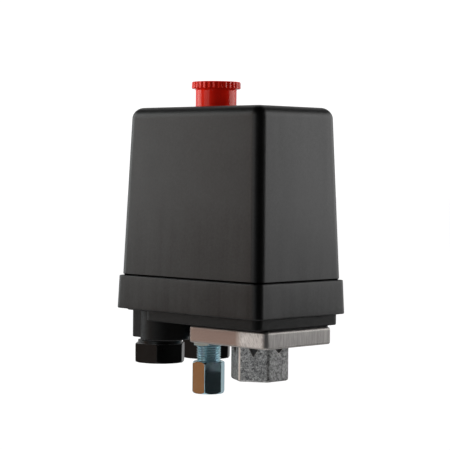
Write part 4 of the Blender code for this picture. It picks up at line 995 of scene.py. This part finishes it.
def unloader_nut_mesh():
    """The compression nut, chamfered at both ends, with a bore for the fitting's thread."""
    at = (UNLOADER_X, 0.0)
    top = NUT_HIGH.z
    corner = FITTING_FLATS / math.sqrt(3)
    body = prism("tube_nut", polygon(6, FITTING_FLATS, at, NUT_TURN, 0.0006, 6), 0.0, top)
    outside = [(0, 0), (corner - 0.0011, 0), (corner - 0.0008, 0.0001),
               (corner, 0.0010), (corner, top - 0.0010), (corner - 0.0008, top - 0.0001),
               (corner - 0.0011, top), (0, top)]
    tube = [(0, -0.001), (TUBE_HOLE + 0.0005, -0.001), (TUBE_HOLE + 0.0005, 0.0),
            (TUBE_HOLE, 0.0005), (TUBE_HOLE, NUT_BORE_Z + 0.0004), (0, NUT_BORE_Z + 0.0004)]
    inner = THREAD_RADIUS + 0.0003
    bore = [(0, NUT_BORE_Z), (inner, NUT_BORE_Z), (inner, top - 0.0004),
            (inner + 0.0003, top + 0.0001), (inner + 0.0003, top + 0.001), (0, top + 0.001)]
    return combine(body, [
        ("INTERSECT", lathe("outside", outside, at, 72)),
        ("DIFFERENCE", lathe("tube", tube, at, 40)),
        ("DIFFERENCE", lathe("bore", bore, at, 48)),
    ], 30.0)


def diaphragm_mesh():
    """The rubber sheet with a slightly uneven cut edge."""
    low, high = SHEET_LOW, SHEET_HIGH
    centre = (PORT_X, 0.0)
    points = outline((high.x - low.x) / 2, high.y, 0.0022, 0.0, 40, 8, centre)
    bm = bmesh.new()
    rings = []
    for z, inset in ((low.z, 0.00008), (low.z + 0.0001, 0.0), (high.z - 0.0001, 0.0),
                     (high.z, 0.00008)):
        line = []
        for i, (x, y) in enumerate(points):
            wobble = 0.00014 * math.sin(i * 1.7) + 0.0001 * math.sin(i * 0.61 + 1.0)
            shrink = 1 - (inset + 0.0002 + wobble) / 0.02
            line.append(bm.verts.new((PORT_X + (x - PORT_X) * shrink, y * shrink, z)))
        rings.append(line)
    bridge(bm, rings)
    cap(bm, rings)
    return to_mesh("diaphragm_sheet", bm)


def screw_mesh(name, node):
    """A cheese-head screw with a rounded head edge and a driver slot."""
    low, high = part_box(node)
    at = ((low.x + high.x) / 2, (low.y + high.y) / 2)
    head = (high.x - low.x) / 2
    top = high.z
    seat = top - 0.0020
    shank = SHANK_RADIUS
    profile = [(0, low.z), (shank - 0.0004, low.z), (shank, low.z + 0.0004)]
    z = low.z + 0.0006
    while z < seat - 0.0010:
        profile += [(shank, z), (shank - 0.00028, z + 0.00025), (shank, z + 0.0005)]
        z += 0.00055
    profile += [(shank, seat), (head - 0.0001, seat), (head, seat + 0.0001)]
    profile += arc(head - 0.0004, top - 0.0004, 0.0004, 0, 90, 5)
    profile += [(0, top)]
    body = lathe(name, profile, at, 40)
    bm = bmesh.new()
    bmesh.ops.create_cube(bm, size=1.0)
    bmesh.ops.scale(bm, vec=(head * 2.4, 0.0009, 0.0018), verts=bm.verts)
    bmesh.ops.translate(bm, vec=(at[0], at[1], top), verts=bm.verts)
    return combine(body, [("DIFFERENCE", to_mesh("slot", bm))], 30.0)


# ------------------------------------------------ build the pieces
add("cover_shell", cover_mesh(), "cover", "cover_plastic")
add("on_off_knob", knob_mesh(), "knob", "red_plastic", body="knob")
add("moulded_base", base_mesh(), "base", "base_plastic")
add("pressure_flange", flange_mesh(), "flange", "die_cast_zinc")
add("diaphragm_sheet", diaphragm_mesh(), "diaphragm", "rubber")
for side, label in ((-1, "front"), (1, "rear")):
    gland = add("cable_gland_" + label, gland_mesh("cable_gland_" + label, side * GLAND_Y),
                "gland_nut_" + label, "gland_plastic")
    # A gland stands so near the fitting that it would fill the fitting's reflections.
    gland.visible_glossy = False
add("unloader_fitting", unloader_body_mesh(), "unloader_body", "blue_zinc_plate",
    look="blue_zinc_thread")
add("tube_nut", unloader_nut_mesh(), "unloader_nut", "blue_zinc_plate")
add("cover_screw_fine", screw_mesh("cover_screw_fine", "cover_screw"), "cover_screw", "steel")

for row in frame["record"]["subparts"]:
    node = NODES[row["node"]]
    if not node.hide_render:
        dress(node, row["material_slot"])
        smooth(node.data, 35.0)


# ------------------------------------------------ studio
CAMERA_AZIMUTH = math.radians(44.596)
CAMERA_ELEVATION = math.radians(1.796)
CAMERA_ROLL = math.radians(-0.561)
CAMERA_DISTANCE = 0.7603
CAMERA_LENS = 139.14
CAMERA_SIDE = -0.00226
CAMERA_RISE = 0.03745
FLOOR_SHOWN = 0.97
FLOOR_BOUNCE = 0.16
FLOOR_RADIUS = 6.0
BACKDROP_SHOWN = 1.1
BACKDROP_HALF_ANGLE = 48.0
BACKDROP_BLUR = 5.0
BACKDROP_LIGHT = 0.6
ROOM_LIGHT = 0.01
TABLE_LIGHT = 0.7
PANEL_DISTANCE = 0.80
# Name, start and end angle (degrees to the right of the camera), bottom and top, colour,
# radiance
PANELS = (
    ("left_strip", -128.0, -93.0, -0.03, 0.62, (0.96, 1.0, 1.0), 2.25),
    ("warm_card", -92.0, -74.0, -0.35, 0.62, (1.0, 0.40, 0.13), 0.30),
    ("left_wide", -73.0, -40.0, -0.03, 0.62, (1.0, 1.0, 1.0), 0.85),
    ("low_card", -40.0, -18.0, -0.12, 0.0, (0.9, 0.97, 1.0), 1.3),
    ("right_wide", 80.0, 129.0, -0.03, 0.62, (1.0, 1.0, 1.0), 1.9),
)


def studio_camera():
    azimuth, elevation = CAMERA_AZIMUTH, CAMERA_ELEVATION
    forward = Vector((-math.sin(azimuth) * math.cos(elevation),
                      math.cos(azimuth) * math.cos(elevation), -math.sin(elevation)))
    right = Vector((math.cos(azimuth), math.sin(azimuth), 0.0))
    up = right.cross(forward)
    turned_right = math.cos(CAMERA_ROLL) * right - math.sin(CAMERA_ROLL) * up
    turned_up = math.sin(CAMERA_ROLL) * right + math.cos(CAMERA_ROLL) * up
    target = right * CAMERA_SIDE + Vector((0, 0, SKIRT_Z + CAMERA_RISE))
    place = target - forward * CAMERA_DISTANCE
    data = bpy.data.cameras.new("camera")
    data.sensor_width = 36.0
    data.lens = CAMERA_LENS
    data.clip_start = 0.01
    data.clip_end = 30.0
    camera = bpy.data.objects.new("camera", data)
    bpy.context.scene.collection.objects.link(camera)
    rotation = Matrix((turned_right, turned_up, -forward)).transposed().to_4x4()
    camera.matrix_world = Matrix.Translation(place) @ rotation
    bpy.context.scene.camera = camera


def around(angle, distance, height):
    """A point round the object; angle is degrees to the right of the camera."""
    turn = math.radians(angle)
    azimuth = CAMERA_AZIMUTH
    to_camera = Vector((math.sin(azimuth), -math.cos(azimuth), 0.0))
    right = Vector((math.cos(azimuth), math.sin(azimuth), 0.0))
    flat = to_camera * math.cos(turn) + right * math.sin(turn)
    return flat * distance + Vector((0, 0, height))


def panel(name, start, end, bottom, top, colour, radiance):
    """An upright soft light that fills the angles from start to end."""
    width = 2 * PANEL_DISTANCE * math.tan(math.radians(abs(end - start)) / 2)
    height = top - bottom
    data = bpy.data.lights.new(name, "AREA")
    data.shape = "RECTANGLE"
    data.size = width
    data.size_y = height
    data.energy = radiance * 4 * width * height
    data.color = colour
    light = bpy.data.objects.new(name, data)
    bpy.context.scene.collection.objects.link(light)
    place = around((start + end) / 2, PANEL_DISTANCE, (top + bottom) / 2)
    light.location = place
    light.rotation_euler = Vector((-place.x, -place.y, 0)).to_track_quat("-Z", "Y").to_euler()
    light.visible_camera = False


def floor_material():
    """A pale floor, near white to the camera and dim in the light it throws back."""
    s = Shader("pale_floor")
    shown = s.node("ShaderNodeEmission")
    shown.inputs["Strength"].default_value = FLOOR_SHOWN
    s.set(Base_Color=(FLOOR_BOUNCE, FLOOR_BOUNCE, FLOOR_BOUNCE), Roughness=0.9)
    both = s.node("ShaderNodeAddShader")
    s.put(both.inputs[0], s.bsdf.outputs[0])
    s.put(both.inputs[1], shown.outputs[0])
    s.for_camera(s.bsdf.outputs[0], both.outputs[0], s.out)
    return s.material


def floor():
    """A wide disc that is left out of reflections and casts no shadow."""
    bm = bmesh.new()
    bmesh.ops.create_circle(bm, cap_ends=True, segments=96, radius=FLOOR_RADIUS)
    obj = bpy.data.objects.new("floor", to_mesh("floor", bm))
    bpy.context.scene.collection.objects.link(obj)
    obj.location.z = CAD_BOX[0].z - 0.0002
    obj.data.materials.append(floor_material())
    obj.visible_glossy = False
    obj.visible_shadow = False


def background(n, strength):
    made = n.node("ShaderNodeBackground")
    n.put(made.inputs["Color"], (1.0, 1.0, 1.0))
    n.put(made.inputs["Strength"], strength)
    return made.outputs[0]


def backdrop():
    """White to the camera; to the object, a lit wall behind it and a lit table far below."""
    world = bpy.data.worlds.new("studio")
    bpy.context.scene.world = world
    world.use_nodes = True
    n = Nodes(world.node_tree, "Generated")
    wall = n.ramp(n.dot(n.place, -around(0.0, 1.0, 0.0)),
                  math.cos(math.radians(BACKDROP_HALF_ANGLE + BACKDROP_BLUR)),
                  math.cos(math.radians(BACKDROP_HALF_ANGLE - BACKDROP_BLUR)),
                  ROOM_LIGHT, BACKDROP_LIGHT)
    table = n.ramp(n.axis("Z"), -0.4, -0.8, 0.0, TABLE_LIGHT)
    n.for_camera(background(n, n.math("MAXIMUM", wall, table)), background(n, BACKDROP_SHOWN),
                 n.node("ShaderNodeOutputWorld"))


def studio():
    floor()
    backdrop()
    for settings in PANELS:
        panel(*settings)
    scene = bpy.context.scene
    scene.view_settings.view_transform = "Standard"
    scene.view_settings.look = "None"


studio_camera()
studio()

bpy.context.view_layer.update()
